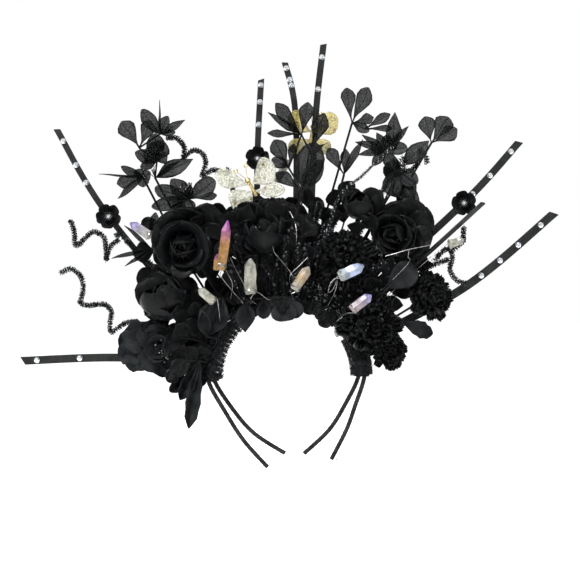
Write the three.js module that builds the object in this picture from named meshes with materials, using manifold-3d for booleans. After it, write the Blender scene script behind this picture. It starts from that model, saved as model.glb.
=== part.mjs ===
import * as THREE from 'three';
import { mergeVertices } from 'three/addons/utils/BufferGeometryUtils.js';
import Module from 'manifold-3d';

const wasm = await Module();
wasm.setup();

// Driving sizes in millimetres. X runs across the face, -Y is the front, +Z is up.
const BAND_RADIUS = 67.5;
const ROD_THICKNESS = 4;
const ROD_SPREAD_DEPTH = 14;
const ROD_SPREAD_RADIAL = 5;
const CORE_DEPTH = 26;
const CORE_THICKNESS = 14;
const WRAP_THICKNESS = 2.4;
const SPRAY_REACH = 240;
const HALF_DEPTH = 62;
const RAY_WIDTH = 7.2;
const RAY_THICKNESS = 2;
const STONE_DIAMETER = 5.8;
const ROSETTE_RADIUS = 10.5;
const ROSE_RADIUS = 30;
const CARNATION_RADIUS = 24;
const LEAF_LENGTH = 29;
const LEAF_WIDTH = 18;
const CLOTH = 1.3;
const STEM_THICKNESS = 2.2;
const JOINT_THICKNESS = 4.4;
const WIRE_THICKNESS = 1.5;
const CRYSTAL_THICKNESS = 9;
const TINSEL_THICKNESS = 4.6;
const FIT_GAP = 0.35;

// The ring's centre lies under the head seat, which is the origin at the top of the hollow.
const RING_CENTRE_Z = CORE_THICKNESS / 2 - BAND_RADIUS;
// The taped bundle covers the upper part of the ring, in degrees from straight up.
const CORE_START = -95;
const CORE_END = 91;
const CORE_STEPS = 13;

const FRONT = new THREE.Vector3(0, -1, 0);
const radians = THREE.MathUtils.degToRad;

function outwardAt(at) {
  return new THREE.Vector3(Math.sin(radians(at)), 0, Math.cos(radians(at)));
}

// A place in the spray: degrees from straight up, share of the reach beyond the ring, share of the depth.
function spot(at, out, deep) {
  const place = outwardAt(at).multiplyScalar(BAND_RADIUS + out * SPRAY_REACH);
  place.y = deep * HALF_DEPTH;
  place.z += RING_CENTRE_Z;
  return place;
}

// A place inside the taped bundle, where a stem is bound in; across is a share of half its depth.
function seat(at, across) {
  const place = outwardAt(at).multiplyScalar(BAND_RADIUS);
  place.y = across * CORE_DEPTH / 2;
  place.z += RING_CENTRE_Z;
  return place;
}

// Plain sections, counter-clockwise
function oval(sides, halfAcross, halfOut) {
  return Array.from({ length: sides }, (_, i) => {
    const turn = (i + 0.5) * 2 * Math.PI / sides;
    return new THREE.Vector2(halfAcross * Math.cos(turn), halfOut * Math.sin(turn));
  });
}

function rectangle(halfAcross, halfOut) {
  return [[-1, -1], [1, -1], [1, 1], [-1, 1]].map(([a, b]) => new THREE.Vector2(a * halfAcross, b * halfOut));
}

function indexedSolid(corners, index) {
  const solid = new THREE.BufferGeometry();
  const values = corners.flatMap((corner) => corner.toArray());
  solid.setAttribute('position', new THREE.Float32BufferAttribute(values, 3));
  solid.setIndex(index);
  return solid;
}

// Carries a section along stations and closes both ends.
function sweep(stations, contour, holes = []) {
  const loops = [contour, ...holes];
  const section = loops.flat();
  const corners = stations.flatMap(({ origin, across, outward, scale = 1, shear = 0, tangent }) =>
    section.map(({ x, y }) => origin.clone()
      .addScaledVector(across, x * scale)
      .addScaledVector(outward, y * scale)
      .addScaledVector(tangent, x * shear)));
  const index = [];
  let first = 0;
  for (const loop of loops) {
    for (let s = 0; s < stations.length - 1; s += 1) {
      for (let k = 0; k < loop.length; k += 1) {
        const here = s * section.length + first + k;
        const beside = s * section.length + first + (k + 1) % loop.length;
        index.push(here, beside, beside + section.length);
        index.push(here, beside + section.length, here + section.length);
      }
    }
    first += loop.length;
  }
  const last = (stations.length - 1) * section.length;
  for (const [a, b, c] of THREE.ShapeUtils.triangulateShape(contour, holes)) {
    index.push(a, c, b);
    index.push(a + last, b + last, c + last);
  }
  return indexedSolid(corners, index);
}

// Stations along a path of points, with the section carried on without a twist
function stationsAlong(points, startAcross) {
  let across = startAcross;
  return points.map((origin, i) => {
    const before = points[Math.max(i - 1, 0)];
    const after = points[Math.min(i + 1, points.length - 1)];
    const tangent = after.clone().sub(before).normalize();
    across = across.clone().addScaledVector(tangent, -across.dot(tangent)).normalize();
    return { origin, across, outward: tangent.clone().cross(across), tangent };
  });
}

// A round rod, wire or stem through its points
function rod(points, thickness, sides = 5) {
  const path = points.length > 2 ? new THREE.CatmullRomCurve3(points) : new THREE.LineCurve3(...points);
  return new THREE.ExtrudeGeometry(new THREE.Shape(oval(sides, thickness / 2, thickness / 2)), {
    steps: points.length - 1,
    bevelEnabled: false,
    extrudePath: path,
  });
}

function smooth(points, steps) {
  return new THREE.CatmullRomCurve3(points).getPoints(steps);
}

// Joining and trimming; triangles that close up to an edge at a pointed base are left out.
function wholeTriangles(index) {
  const kept = [];
  for (let i = 0; i < index.length; i += 3) {
    const [a, b, c] = index.slice(i, i + 3);
    if (a !== b && b !== c && c !== a) {
      kept.push(a, b, c);
    }
  }
  return kept;
}

function toSolid(geometry) {
  const bare = geometry.clone();
  bare.deleteAttribute('normal');
  bare.deleteAttribute('uv');
  const merged = mergeVertices(bare, 1e-4);
  return new wasm.Manifold(new wasm.Mesh({
    numProp: 3,
    vertProperties: new Float32Array(merged.attributes.position.array),
    triVerts: new Uint32Array(wholeTriangles(merged.index.array)),
  }));
}

function fuse(geometries) {
  return geometries.map(toSolid).reduce((whole, next) => whole.add(next));
}

function toGeometry(solid) {
  const mesh = solid.getMesh();
  const geometry = new THREE.BufferGeometry();
  geometry.setAttribute('position', new THREE.BufferAttribute(new Float32Array(mesh.vertProperties), 3));
  geometry.setIndex(new THREE.BufferAttribute(new Uint32Array(mesh.triVerts), 1));
  geometry.computeVertexNormals();
  return geometry;
}

// Finishes, as the photo shows them
const FINISHES = {
  satin: { color: 0x1b1d20, roughness: 0.55, metalness: 0 },
  organza: { color: 0x3a3d42, roughness: 0.75, metalness: 0 },
  ribbon: { color: 0x2c2e2d, roughness: 0.5, metalness: 0 },
  tape: { color: 0x1f2122, roughness: 0.7, metalness: 0 },
  rod: { color: 0x3a3d3b, roughness: 0.6, metalness: 0 },
  tinsel: { color: 0x2a2c2f, roughness: 0.4, metalness: 0.4 },
  quartz: { color: 0xe6e4ea, roughness: 0.12, metalness: 0 },
  amber: { color: 0xe0a066, roughness: 0.12, metalness: 0 },
  cream: { color: 0xe9e4d3, roughness: 0.6, metalness: 0 },
  gold: { color: 0xd9bf6e, roughness: 0.55, metalness: 0.2 },
};

const crown = new THREE.Group();
crown.name = 'floral_crown';

function addPiece(name, finish, geometry) {
  const piece = new THREE.Mesh(geometry, new THREE.MeshStandardMaterial(FINISHES[finish]));
  piece.name = name;
  crown.add(piece);
}

// The taped bundle and its two bindings
function arcStations(start, end, steps) {
  return Array.from({ length: steps + 1 }, (_, i) => {
    const at = start + (end - start) * i / steps;
    const outward = outwardAt(at);
    const across = new THREE.Vector3(0, 1, 0);
    return { origin: seat(at, 0), across, outward, tangent: across.clone().cross(outward) };
  });
}

function coreOval(grow) {
  return oval(8, CORE_DEPTH / 2 + grow, CORE_THICKNESS / 2 + grow);
}

function tunnel(side) {
  const radius = (ROD_THICKNESS / 2 + FIT_GAP) / Math.cos(Math.PI / 6);
  const centre = new THREE.Vector2(side * ROD_SPREAD_DEPTH / 2, -side * ROD_SPREAD_RADIAL / 2);
  return oval(6, radius, radius).map((corner) => corner.add(centre)).reverse();
}

const CORE_STATIONS = arcStations(CORE_START, CORE_END, CORE_STEPS);
const WRAPS = [
  { name: 'wrap_left', step: 0 },
  { name: 'wrap_right', step: CORE_STEPS - 1 },
];

addPiece('taped_core', 'tape', sweep(CORE_STATIONS, coreOval(0), [tunnel(-1), tunnel(1)]));

function between(a, b, share) {
  return {
    origin: a.origin.clone().lerp(b.origin, share),
    across: a.across,
    outward: a.outward.clone().lerp(b.outward, share).normalize(),
    tangent: a.tangent,
  };
}

function wrapSleeve({ step }, grow) {
  const ends = [0.1, 0.9].map((share) => between(CORE_STATIONS[step], CORE_STATIONS[step + 1], share));
  const hollow = grow > 0 ? [] : [coreOval(FIT_GAP).reverse()];
  return sweep(ends, coreOval(WRAP_THICKNESS + FIT_GAP + grow), hollow);
}

for (const wrap of WRAPS) {
  addPiece(wrap.name, 'tape', wrapSleeve(wrap, 0));
}

// What is bound on ends a fit short of the bundle and of its bindings.
const BUNDLE_CLEARANCE = fuse([
  sweep(CORE_STATIONS, coreOval(FIT_GAP * 1.1)),
  ...WRAPS.map((wrap) => wrapSleeve(wrap, FIT_GAP)),
]);

function addBound(name, finish, geometries) {
  addPiece(name, finish, toGeometry(fuse(geometries).subtract(BUNDLE_CLEARANCE)));
}

// The double headband: the front rod runs outside, the rear rod inside; legs in shares of the ring.
const BANDS = [
  {
    name: 'band_front', side: -1,
    left: [[-168.5, 1.25], [-147, 1.04], [-122, 0.95]],
    right: [[114, 1.0], [132.5, 1.08], [152, 1.27]],
  },
  {
    name: 'band_rear', side: 1,
    left: [[-179, 1.05], [-153, 0.9], [-127.5, 0.85]],
    right: [[115, 0.88], [142, 0.93], [167.5, 1.08]],
  },
];

function legPoints(rows, side) {
  return rows.map(([at, share]) => {
    const place = outwardAt(at).multiplyScalar(share * BAND_RADIUS);
    place.y = side * ROD_SPREAD_DEPTH / 2;
    place.z += RING_CENTRE_Z;
    return place;
  });
}

function bandSolid({ side, left, right }) {
  const arc = CORE_STATIONS.map(({ origin, outward }) => {
    const place = origin.clone().addScaledVector(outward, -side * ROD_SPREAD_RADIAL / 2);
    place.y = side * ROD_SPREAD_DEPTH / 2;
    return place;
  });
  const leftLeg = smooth([...legPoints(left, side), arc[0]], 7);
  const rightLeg = smooth([arc.at(-1), ...legPoints(right, side)], 7);
  const path = [...leftLeg.slice(0, -1), ...arc, ...rightLeg.slice(1)];
  return sweep(stationsAlong(path, new THREE.Vector3(0, 1, 0)), oval(5, ROD_THICKNESS / 2, ROD_THICKNESS / 2));
}

for (const band of BANDS) {
  addPiece(band.name, 'rod', bandSolid(band));
}

// A cut stone: a flat table over eight facets, its girdle sunk into the setting
function stone(centre, facing, diameter) {
  const sunk = 0.4;
  const height = diameter * 0.36;
  const tableShare = 0.55;
  const path = [centre.clone().addScaledVector(facing, -sunk), centre.clone().addScaledVector(facing, height)];
  const stations = stationsAlong(path, new THREE.Vector3(1, 0, 0));
  stations[1].scale = tableShare;
  return sweep(stations, oval(8, diameter / 2, diameter / 2));
}

// Flat strips with slant-cut ends; stones in shares of the strip's length, turned in degrees edge-on.
const RAYS = [
  { name: 'ray_left_low', seatAt: -81, mid: [-84.3, 0.365], tip: [-87, 0.712], width: 1, deep: 0.145,
    slant: 0.6, stones: [0.7, 0.92] },
  { name: 'ray_left_high', seatAt: -68, mid: [-48.2, 0.622], tip: [-43.1, 0.983], width: 0.76, deep: 0.145,
    slant: -0.5, stones: [0.78, 0.857, 0.95] },
  { name: 'ray_top_left', seatAt: -22, mid: [-8.1, 0.499], tip: [-4.9, 0.833], width: 0.76, deep: 0.145,
    slant: 0.4, stones: [0.8, 0.9, 0.98] },
  { name: 'ray_top_mid', seatAt: 6, mid: [2.2, 0.661], tip: [-0.3, 0.893], width: 0.76, deep: 0.145,
    slant: -0.3, stones: [0.9, 0.934, 0.968] },
  { name: 'ray_top_right', seatAt: 17, mid: [6.6, 0.647], tip: [6.4, 0.969], width: 0.8, deep: 0.145,
    slant: 0.3, stones: [0.834, 0.957] },
  { name: 'ray_right_high', seatAt: 42, mid: [45.9, 0.635], tip: [45, 0.957], width: 0.92, deep: 0.145,
    slant: 0.5, stones: [0.73, 0.833, 0.955] },
  { name: 'ray_right_mid', seatAt: 50, mid: [49.3, 0.404], tip: [48.8, 0.698], width: 0.8, deep: -0.1,
    slant: 0.4, turned: 62, stones: [] },
  { name: 'ray_right_low', seatAt: 68, mid: [63.8, 0.473], tip: [58.9, 0.895], width: 1.05, deep: 0.145,
    slant: 0.6, stones: [0.61, 0.7, 0.807, 0.935] },
];
const RAY_STEPS = 5;

function rayPath({ seatAt, mid, tip, deep }) {
  const start = seat(seatAt, 0);
  start.y = deep * HALF_DEPTH;
  return new THREE.CatmullRomCurve3([start, spot(mid[0], mid[1], deep), spot(tip[0], tip[1], deep)]);
}

function rayFace({ turned = 0 }, path, share) {
  const tangent = path.getTangentAt(share);
  const flat = FRONT.clone().addScaledVector(tangent, -FRONT.dot(tangent)).normalize();
  return flat.applyAxisAngle(tangent, radians(turned));
}

function raySolid(ray) {
  const path = rayPath(ray);
  const stations = stationsAlong(path.getSpacedPoints(RAY_STEPS), rayFace(ray, path, 0));
  const strip = sweep(stations.map((station) => ({
    ...station, across: station.outward, outward: station.across.clone().negate(),
  })).map((station, i) => (i < RAY_STEPS ? station : { ...station, shear: ray.slant })),
  rectangle(ray.width * RAY_WIDTH / 2, RAY_THICKNESS / 2));
  const stones = ray.stones.map((share) => {
    const face = rayFace(ray, path, share);
    return stone(path.getPointAt(share).addScaledVector(face, RAY_THICKNESS / 2), face, STONE_DIAMETER);
  });
  return [strip, ...stones];
}

for (const ray of RAYS) {
  addBound(ray.name, 'ribbon', raySolid(ray));
}

// Ribbon rosettes, glued on the strips' front faces with a stone in the middle
const ROSETTES = [
  { name: 'rosette_left_low', ray: 'ray_left_low', share: 0.35, size: 0.95 },
  { name: 'rosette_left_high', ray: 'ray_left_high', share: 0.635, size: 1.05 },
  { name: 'rosette_top', ray: 'ray_top_left', share: 0.65, size: 1 },
  { name: 'rosette_right', ray: 'ray_right_high', share: 0.665, size: 1.05 },
];

function scallops(count, radius, dip) {
  return oval(count * 2, radius, radius).map((corner, i) => (i % 2 ? corner : corner.multiplyScalar(dip)));
}

function rosetteSolid({ ray, share, size }) {
  const host = RAYS.find(({ name }) => name === ray);
  const path = rayPath(host);
  const face = rayFace(host, path, share);
  const radius = size * ROSETTE_RADIUS;
  const back = path.getPointAt(share).addScaledVector(face, RAY_THICKNESS / 2 + FIT_GAP);
  const heights = [0, 0.34, 0.5];
  const spreads = [0.85, 1, 0.62];
  const levels = heights.map((height) => back.clone().addScaledVector(face, height * radius));
  const stations = stationsAlong(levels, new THREE.Vector3(1, 0, 0));
  stations.forEach((station, i) => { station.scale = spreads[i]; });
  return [
    sweep(stations, scallops(6, radius, 0.8)),
    stone(levels[2], face, STONE_DIAMETER),
  ];
}

for (const rosette of ROSETTES) {
  addPiece(rosette.name, 'satin', toGeometry(fuse(rosetteSolid(rosette))));
}

// A sheet of cloth: its base at the origin, length along +Z, hollow side to +Y; outlines are width shares.
const OUTLINES = {
  round: [0, 0.85, 1, 0.3],
  pointed: [0, 1, 0.08],
  petal: [0, 1, 0.55],
  spike: [0, 0.4],
  wing: [0, 0.95, 0.6],
};

function sheet({ length, width, outline, cup = 0.15, curl = 0, thick = CLOTH }) {
  const widths = OUTLINES[outline];
  const rows = widths.length - 1;
  const across = [-1, 0, 1];
  const corners = [];
  const base = new THREE.Vector3();
  widths.forEach((share, row) => {
    const bend = radians(curl * row / rows);
    const normal = new THREE.Vector3(0, Math.cos(bend), -Math.sin(bend));
    for (const face of [1, -1]) {
      for (const u of across) {
        const corner = base.clone().addScaledVector(normal, cup * width * u * u * share + face * thick / 2);
        corner.x = u * share * width / 2;
        corners.push(corner);
      }
    }
    base.y += Math.sin(bend) * length / rows;
    base.z += Math.cos(bend) * length / rows;
  });
  return indexedSolid(corners, sheetIndex(rows, across.length));
}

function sheetIndex(rows, count) {
  const index = [];
  const quad = (a, b, c, d) => index.push(a, b, c, a, c, d);
  const at = (row, face, col) => row * 2 * count + face * count + col;
  for (let row = 0; row < rows; row += 1) {
    for (let col = 0; col < count - 1; col += 1) {
      quad(at(row, 0, col), at(row + 1, 0, col), at(row + 1, 0, col + 1), at(row, 0, col + 1));
      quad(at(row, 1, col), at(row, 1, col + 1), at(row + 1, 1, col + 1), at(row + 1, 1, col));
    }
    quad(at(row, 0, 0), at(row, 1, 0), at(row + 1, 1, 0), at(row + 1, 0, 0));
    const end = count - 1;
    quad(at(row, 0, end), at(row + 1, 0, end), at(row + 1, 1, end), at(row, 1, end));
  }
  for (let col = 0; col < count - 1; col += 1) {
    quad(at(0, 0, col), at(0, 0, col + 1), at(0, 1, col + 1), at(0, 1, col));
    quad(at(rows, 0, col), at(rows, 1, col), at(rows, 1, col + 1), at(rows, 0, col + 1));
  }
  return index;
}

// Turns a sheet so that its length runs along a heading and its hollow side looks at the front.
function leafAlong(base, heading, size) {
  const along = heading.clone().normalize();
  const toFront = FRONT.clone().addScaledVector(along, -FRONT.dot(along)).normalize();
  const side = toFront.clone().cross(along);
  const turn = new THREE.Matrix4().makeBasis(side, toFront, along).setPosition(base);
  return sheet(size).applyMatrix4(turn);
}

function ball(centre, diameter) {
  return new THREE.IcosahedronGeometry(diameter / 2, 0).translate(centre.x, centre.y, centre.z);
}

function knot(centre, diameter) {
  return new THREE.OctahedronGeometry(diameter / 2, 0).translate(centre.x, centre.y, centre.z);
}

// Satin flower heads: nested cups; waist and rim are [spread, height] in shares of the head's radius
const HEADS = {
  rose: { petals: 5, cups: [
    { waist: [0.62, 0.08], rim: [1, 0.3] },
    { waist: [0.5, 0.26], rim: [0.72, 0.52] },
    { waist: [0.3, 0.42], rim: [0.36, 0.72] },
  ] },
  bud: { petals: 4, cups: [
    { waist: [0.95, 0.3], rim: [0.9, 0.95] },
    { waist: [0.5, 0.5], rim: [0.42, 1.12] },
  ] },
  peony: { petals: 6, cups: [
    { waist: [0.6, 0.08], rim: [1, 0.22] },
    { waist: [0.42, 0.26], rim: [0.62, 0.5] },
  ] },
  carnation: { petals: 7, cups: [
    { rim: [1, 0.3] },
    { rim: [0.82, 0.54] },
    { rim: [0.55, 0.74] },
  ] },
};
const NOTCH = 0.84;
const NECK = 0.14;

const FLOWERS = [
  { name: 'rose_left', head: 'rose', at: -36, out: 0.338, deep: -0.22, size: 1.14, tilt: -0.15, spin: 10,
    seatAt: -44, across: -0.35 },
  { name: 'rose_centre', head: 'rose', at: -9, out: 0.307, deep: -0.2, size: 0.94, tilt: -0.3, spin: 40,
    seatAt: -9, across: -0.35 },
  { name: 'rose_right', head: 'rose', at: 38.2, out: 0.408, deep: -0.2, size: 0.98, tilt: 0.1, spin: 0,
    seatAt: 38, across: -0.35 },
  { name: 'rosebud_left', head: 'bud', at: -57.5, out: 0.262, deep: -0.16, size: 0.68, tilt: 0.4, spin: 0,
    seatAt: -58, across: -0.35 },
  { name: 'rosebud_right', head: 'bud', at: 23.7, out: 0.415, deep: -0.16, size: 0.46, tilt: 0.4, spin: 20,
    seatAt: 24, across: -0.35 },
  { name: 'blossom_left', head: 'peony', at: -78, out: 0.25, deep: -0.2, size: 0.92, tilt: 0.3, spin: 0,
    seatAt: -76, across: -0.35 },
];

function headAxes(at, tilt) {
  const facing = FRONT.clone().addScaledVector(outwardAt(at), tilt).normalize();
  const side = new THREE.Vector3(0, 0, 1).cross(facing).normalize();
  return new THREE.Matrix4().makeBasis(side, facing.clone().cross(side), facing);
}

// The rings that a head's skin runs through: up under each cup, over its rim and back down to the neck
function headRings({ petals, cups }, radius, spin) {
  const rings = [];
  const wall = CLOTH / 2;
  cups.forEach(({ waist, rim }, i) => {
    const turn = spin + i * 180 / petals;
    const top = cups[i + 1] ? (cups[i + 1].waist ?? cups[i + 1].rim)[1] * 0.5 : rim[1] * 0.7;
    const levels = waist ? [waist, rim] : [rim];
    levels.forEach(([spread, height]) => rings.push({ spread, height, wall: -wall, turn }));
    [...levels].reverse().forEach(([spread, height]) => rings.push({ spread, height, wall, turn }));
    rings.push({ spread: NECK, height: top, wall: 0, turn });
  });
  return rings.map(({ spread, height, wall: side, turn }) => Array.from({ length: petals * 2 }, (_, k) => {
    const dip = k % 2 ? NOTCH : 1;
    const far = spread * dip * radius - side;
    const angle = radians(turn + 180 * k / petals);
    return new THREE.Vector3(far * Math.cos(angle), far * Math.sin(angle), height * dip * radius + side);
  }));
}

function headSolid(head, radius, spin) {
  const rings = headRings(head, radius, spin);
  const count = head.petals * 2;
  const corners = [new THREE.Vector3(0, 0, -CLOTH), ...rings.flat()];
  corners.push(new THREE.Vector3(0, 0, rings.at(-1)[0].z + CLOTH));
  const index = [];
  for (let i = 0; i < count; i += 1) {
    const next = (i + 1) % count;
    const last = corners.length - 1 - count;
    index.push(0, 1 + next, 1 + i, corners.length - 1, last + i, last + next);
    for (let ring = 0; ring < rings.length - 1; ring += 1) {
      const low = 1 + ring * count;
      index.push(low + i, low + next, low + count + next, low + i, low + count + next, low + count + i);
    }
  }
  return indexedSolid(corners, index);
}

function flowerSolid({ head, at, out, deep, radius, tilt, spin = 0, seatAt, across }) {
  const centre = spot(at, out, deep);
  const turn = headAxes(at, tilt).setPosition(centre);
  return [
    headSolid(HEADS[head], radius, spin).applyMatrix4(turn),
    rod([seat(seatAt, across), centre.clone().addScaledVector(FRONT, CLOTH / 2)], STEM_THICKNESS, 4),
  ];
}

for (const flower of FLOWERS) {
  addBound(flower.name, 'satin', flowerSolid({ ...flower, radius: flower.size * ROSE_RADIUS }));
}

// Carnations: three nested cups with a zigzag rim
const CARNATIONS = [
  { name: 'carnation_mid', at: 27, out: 0.2, deep: -0.26, size: 0.98, tilt: 0.15, seatAt: 27, across: -0.4 },
  { name: 'carnation_low', at: 58, out: 0.075, deep: -0.3, size: 1, tilt: 0.1, seatAt: 58, across: -0.5 },
  { name: 'carnation_under', at: 80, out: 0.14, deep: -0.16, size: 0.66, tilt: 0.3, seatAt: 77, across: -0.4 },
  { name: 'carnation_side', at: 61, out: 0.326, deep: -0.16, size: 0.78, tilt: 0.6, seatAt: 64, across: -0.3 },
];

for (const carnation of CARNATIONS) {
  addBound(carnation.name, 'satin', flowerSolid({
    ...carnation, head: 'carnation', radius: carnation.size * CARNATION_RADIUS,
  }));
}

// Leaf sprays: joints along a stem, each leaf by its turn from straight up, reach, width and forward lean.
const SPRAYS = [
  {
    name: 'bloom_high_left', finish: 'organza', seatAt: -42, across: 0.15, joints: [
      { at: -29.4, out: 0.7, deep: 0.04, leaves: [
        [-40, 0.5, 0.5, 50, 'petal'], [110, 1.2, 0.75, 30, 'petal'], [-107, 0.85, 0.5, 20, 'petal'],
        [-46, 1.5, 1, 0, 'round'], [-14, 1.1, 0.85, 0, 'round'],
      ] },
      { at: -27.5, out: 0.763, deep: 0.02, leaves: [
        [-30, 0.85, 0.7, 10, 'round'], [50, 0.7, 0.6, 20, 'round'], [76, 0.94, 0.4, 0, 'pointed'],
        [5, 0.87, 0.12, 10, 'spike'],
      ] },
    ],
  },
  {
    name: 'sprig_left_mid', finish: 'organza', seatAt: -50, across: 0.15, joints: [
      { at: -35.8, out: 0.625, deep: 0.04, leaves: [
        [-60, 0.75, 0.9, 30, 'petal'], [-81, 1.55, 0.14, 0, 'spike'], [-98, 1, 0.5, 20, 'petal'],
        [-125, 1.1, 0.45, 0, 'pointed'],
      ] },
    ],
  },
  {
    name: 'bloom_left', finish: 'organza', seatAt: -33, across: -0.12, joints: [
      { at: -28.9, out: 0.472, deep: -0.04, leaves: [
        [-76, 1.3, 0.55, 10, 'petal'], [-44, 0.95, 0.6, 20, 'petal'], [0, 0.65, 0.25, 40, 'spike'],
        [50, 0.9, 0.6, -10, 'petal'], [88, 0.85, 0.35, -6, 'petal'], [-104, 1.28, 0.6, 0, 'petal'],
      ] },
    ],
  },
  {
    name: 'sprig_left_low', finish: 'organza', seatAt: -53, across: -0.12, joints: [
      { at: -46.9, out: 0.41, deep: -0.02, leaves: [
        [-50, 1.08, 0.22, 0, 'pointed'], [-103, 1.28, 0.22, 0, 'pointed'], [-124, 1, 0.2, 10, 'pointed'],
        [6, 1.1, 0.6, 0, 'round'],
      ] },
    ],
  },
  {
    name: 'sprig_top', finish: 'organza', seatAt: -2, across: -0.12, joints: [
      { at: 4.8, out: 0.411, deep: -0.22, leaves: [
        [-55, 1, 0.6, 10, 'round'], [14, 1.6, 1, 4, 'round'],
      ] },
      { at: 0.6, out: 0.495, deep: -0.05, leaves: [
        [-32, 1.05, 0.55, 10, 'round'], [10, 0.85, 0.45, 20, 'round'],
      ] },
      { at: 3.6, out: 0.62, deep: -0.05, leaves: [
        [-40, 1.25, 0.75, 0, 'round'], [-58, 1.35, 0.4, 20, 'pointed'], [-88, 1.1, 0.4, 10, 'round'],
        [12, 1, 0.8, 0, 'round'], [42, 1.25, 0.7, 10, 'round'],
      ] },
    ],
  },
  {
    name: 'sprig_right_tall', finish: 'organza', seatAt: 12, across: 0.15, joints: [
      { at: 14.6, out: 0.695, deep: 0.03, leaves: [
        [-9, 1.1, 0.65, 0, 'round'], [26, 1.2, 0.75, 0, 'round'], [76, 0.8, 0.6, 30, 'round'],
      ] },
      { at: 17.7, out: 0.687, deep: 0.03, leaves: [
        [60, 0.87, 0.5, 0, 'round'], [90, 0.85, 0.35, 0, 'round'],
      ] },
    ],
  },
  {
    name: 'sprig_right_dark', finish: 'organza', seatAt: 19, across: -0.2, joints: [
      { at: 16, out: 0.5, deep: -0.12, leaves: [
        [-32, 0.95, 0.7, 0, 'round'], [4, 0.85, 0.5, 20, 'round'], [28, 1.25, 0.4, 10, 'pointed'],
      ] },
    ],
  },
  {
    name: 'bloom_right', finish: 'organza', seatAt: 29, across: 0, joints: [
      { at: 29.9, out: 0.58, deep: -0.03, leaves: [
        [150, 1.1, 0.5, 10, 'petal'], [-160, 0.8, 0.5, 20, 'petal'],
      ] },
      { at: 24.6, out: 0.655, deep: -0.03, leaves: [
        [-92, 1.05, 0.45, 10, 'pointed'], [18, 1.25, 0.7, 0, 'round'], [84, 1.3, 0.75, 10, 'round'],
        [-40, 0.8, 0.6, 30, 'petal'], [-170, 0.8, 0.6, 40, 'petal'],
      ] },
    ],
  },
  {
    name: 'sprig_far_right', finish: 'organza', seatAt: 35, across: 0.15, joints: [
      { at: 32.3, out: 0.739, deep: 0.03, leaves: [
        [-12, 0.85, 0.7, 0, 'round'], [31, 1.15, 0.85, 0, 'round'], [68, 0.92, 0.8, 10, 'round'],
      ] },
    ],
  },
  {
    name: 'leaf_left', finish: 'satin', seatAt: -36, across: -0.7, joints: [
      { at: -36.9, out: 0.09, deep: -0.34, leaves: [[-138, 1.45, 0.9, -4, 'pointed'], [-172, 1, 0.5, 0, 'pointed']] },
    ],
  },
  {
    name: 'petals_low', finish: 'satin', seatAt: -7, across: -0.75, joints: [
      { at: -6, out: -0.012, deep: -0.28, leaves: [
        [150, 0.95, 1.3, 0, 'petal'], [-160, 0.8, 1, 0, 'petal'],
      ] },
      { at: -27, out: -0.006, deep: -0.28, leaves: [[-172, 0.75, 0.9, 0, 'pointed']] },
    ],
  },
  {
    name: 'leaf_right', finish: 'satin', seatAt: 71, across: -0.2, joints: [
      { at: 66, out: 0.2, deep: -0.12, leaves: [[112, 0.95, 0.8, 0, 'pointed']] },
    ],
  },
  {
    name: 'petal_right', finish: 'satin', seatAt: 55, across: -0.6, joints: [
      { at: 49.2, out: 0.212, deep: -0.32, leaves: [[52, 1.1, 1.3, 0, 'petal']] },
    ],
  },
  {
    name: 'leaves_long', finish: 'satin', seatAt: -81, across: -0.7, joints: [
      { at: -80.5, out: 0.045, deep: -0.34, leaves: [[-148, 1.35, 0.75, 0, 'petal'], [-171, 2.1, 0.75, 10, 'pointed']] },
    ],
  },
];

function leafHeading(turn, lean) {
  return outwardAt(turn).addScaledVector(FRONT, Math.tan(radians(lean)));
}

function spraySolid({ seatAt, across, joints }) {
  const places = joints.map(({ at, out, deep }) => spot(at, out, deep));
  const start = seat(seatAt, across);
  const rise = start.clone().lerp(places[0], 0.4)
    .addScaledVector(outwardAt(seatAt), 0.06 * SPRAY_REACH * joints[0].out);
  const stem = rod(smooth([start, rise, places[0]], 3), STEM_THICKNESS, 4);
  const branches = places.slice(1).map((place, i) => rod([places[i], place], STEM_THICKNESS, 4));
  const leaves = joints.flatMap((joint, j) => joint.leaves.map(([turn, reach, wide, lean, outline]) => {
    const heading = leafHeading(turn, lean).normalize();
    const base = places[j].clone().addScaledVector(heading, JOINT_THICKNESS / 4);
    return leafAlong(base, heading, {
      length: reach * LEAF_LENGTH, width: wide * LEAF_WIDTH, outline, cup: 0.12, curl: 14,
    });
  }));
  return [stem, ...branches, ...leaves, ...places.map((place) => knot(place, JOINT_THICKNESS))];
}

for (const spray of SPRAYS) {
  addBound(spray.name, spray.finish, spraySolid(spray));
}

// Butterflies: two pairs of wings on a body with antennae, on a wire
const BUTTERFLIES = [
  { name: 'butterfly_white', finish: 'cream', at: -10.9, out: 0.45, deep: -0.1, seatAt: -14, across: -0.35,
    wings: [[-80, 1.25, 0.7], [50, 1.05, 0.9], [98, 1.15, 0.8], [-140, 0.8, 0.7]], heading: -12 },
  { name: 'butterfly_gold', finish: 'gold', at: 6, out: 0.622, deep: 0.1, seatAt: 1, across: 0.15,
    wings: [[-72, 1.2, 0.85], [62, 1.1, 0.95], [104, 0.9, 0.7], [-112, 0.9, 0.6]], heading: 10 },
];

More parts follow.
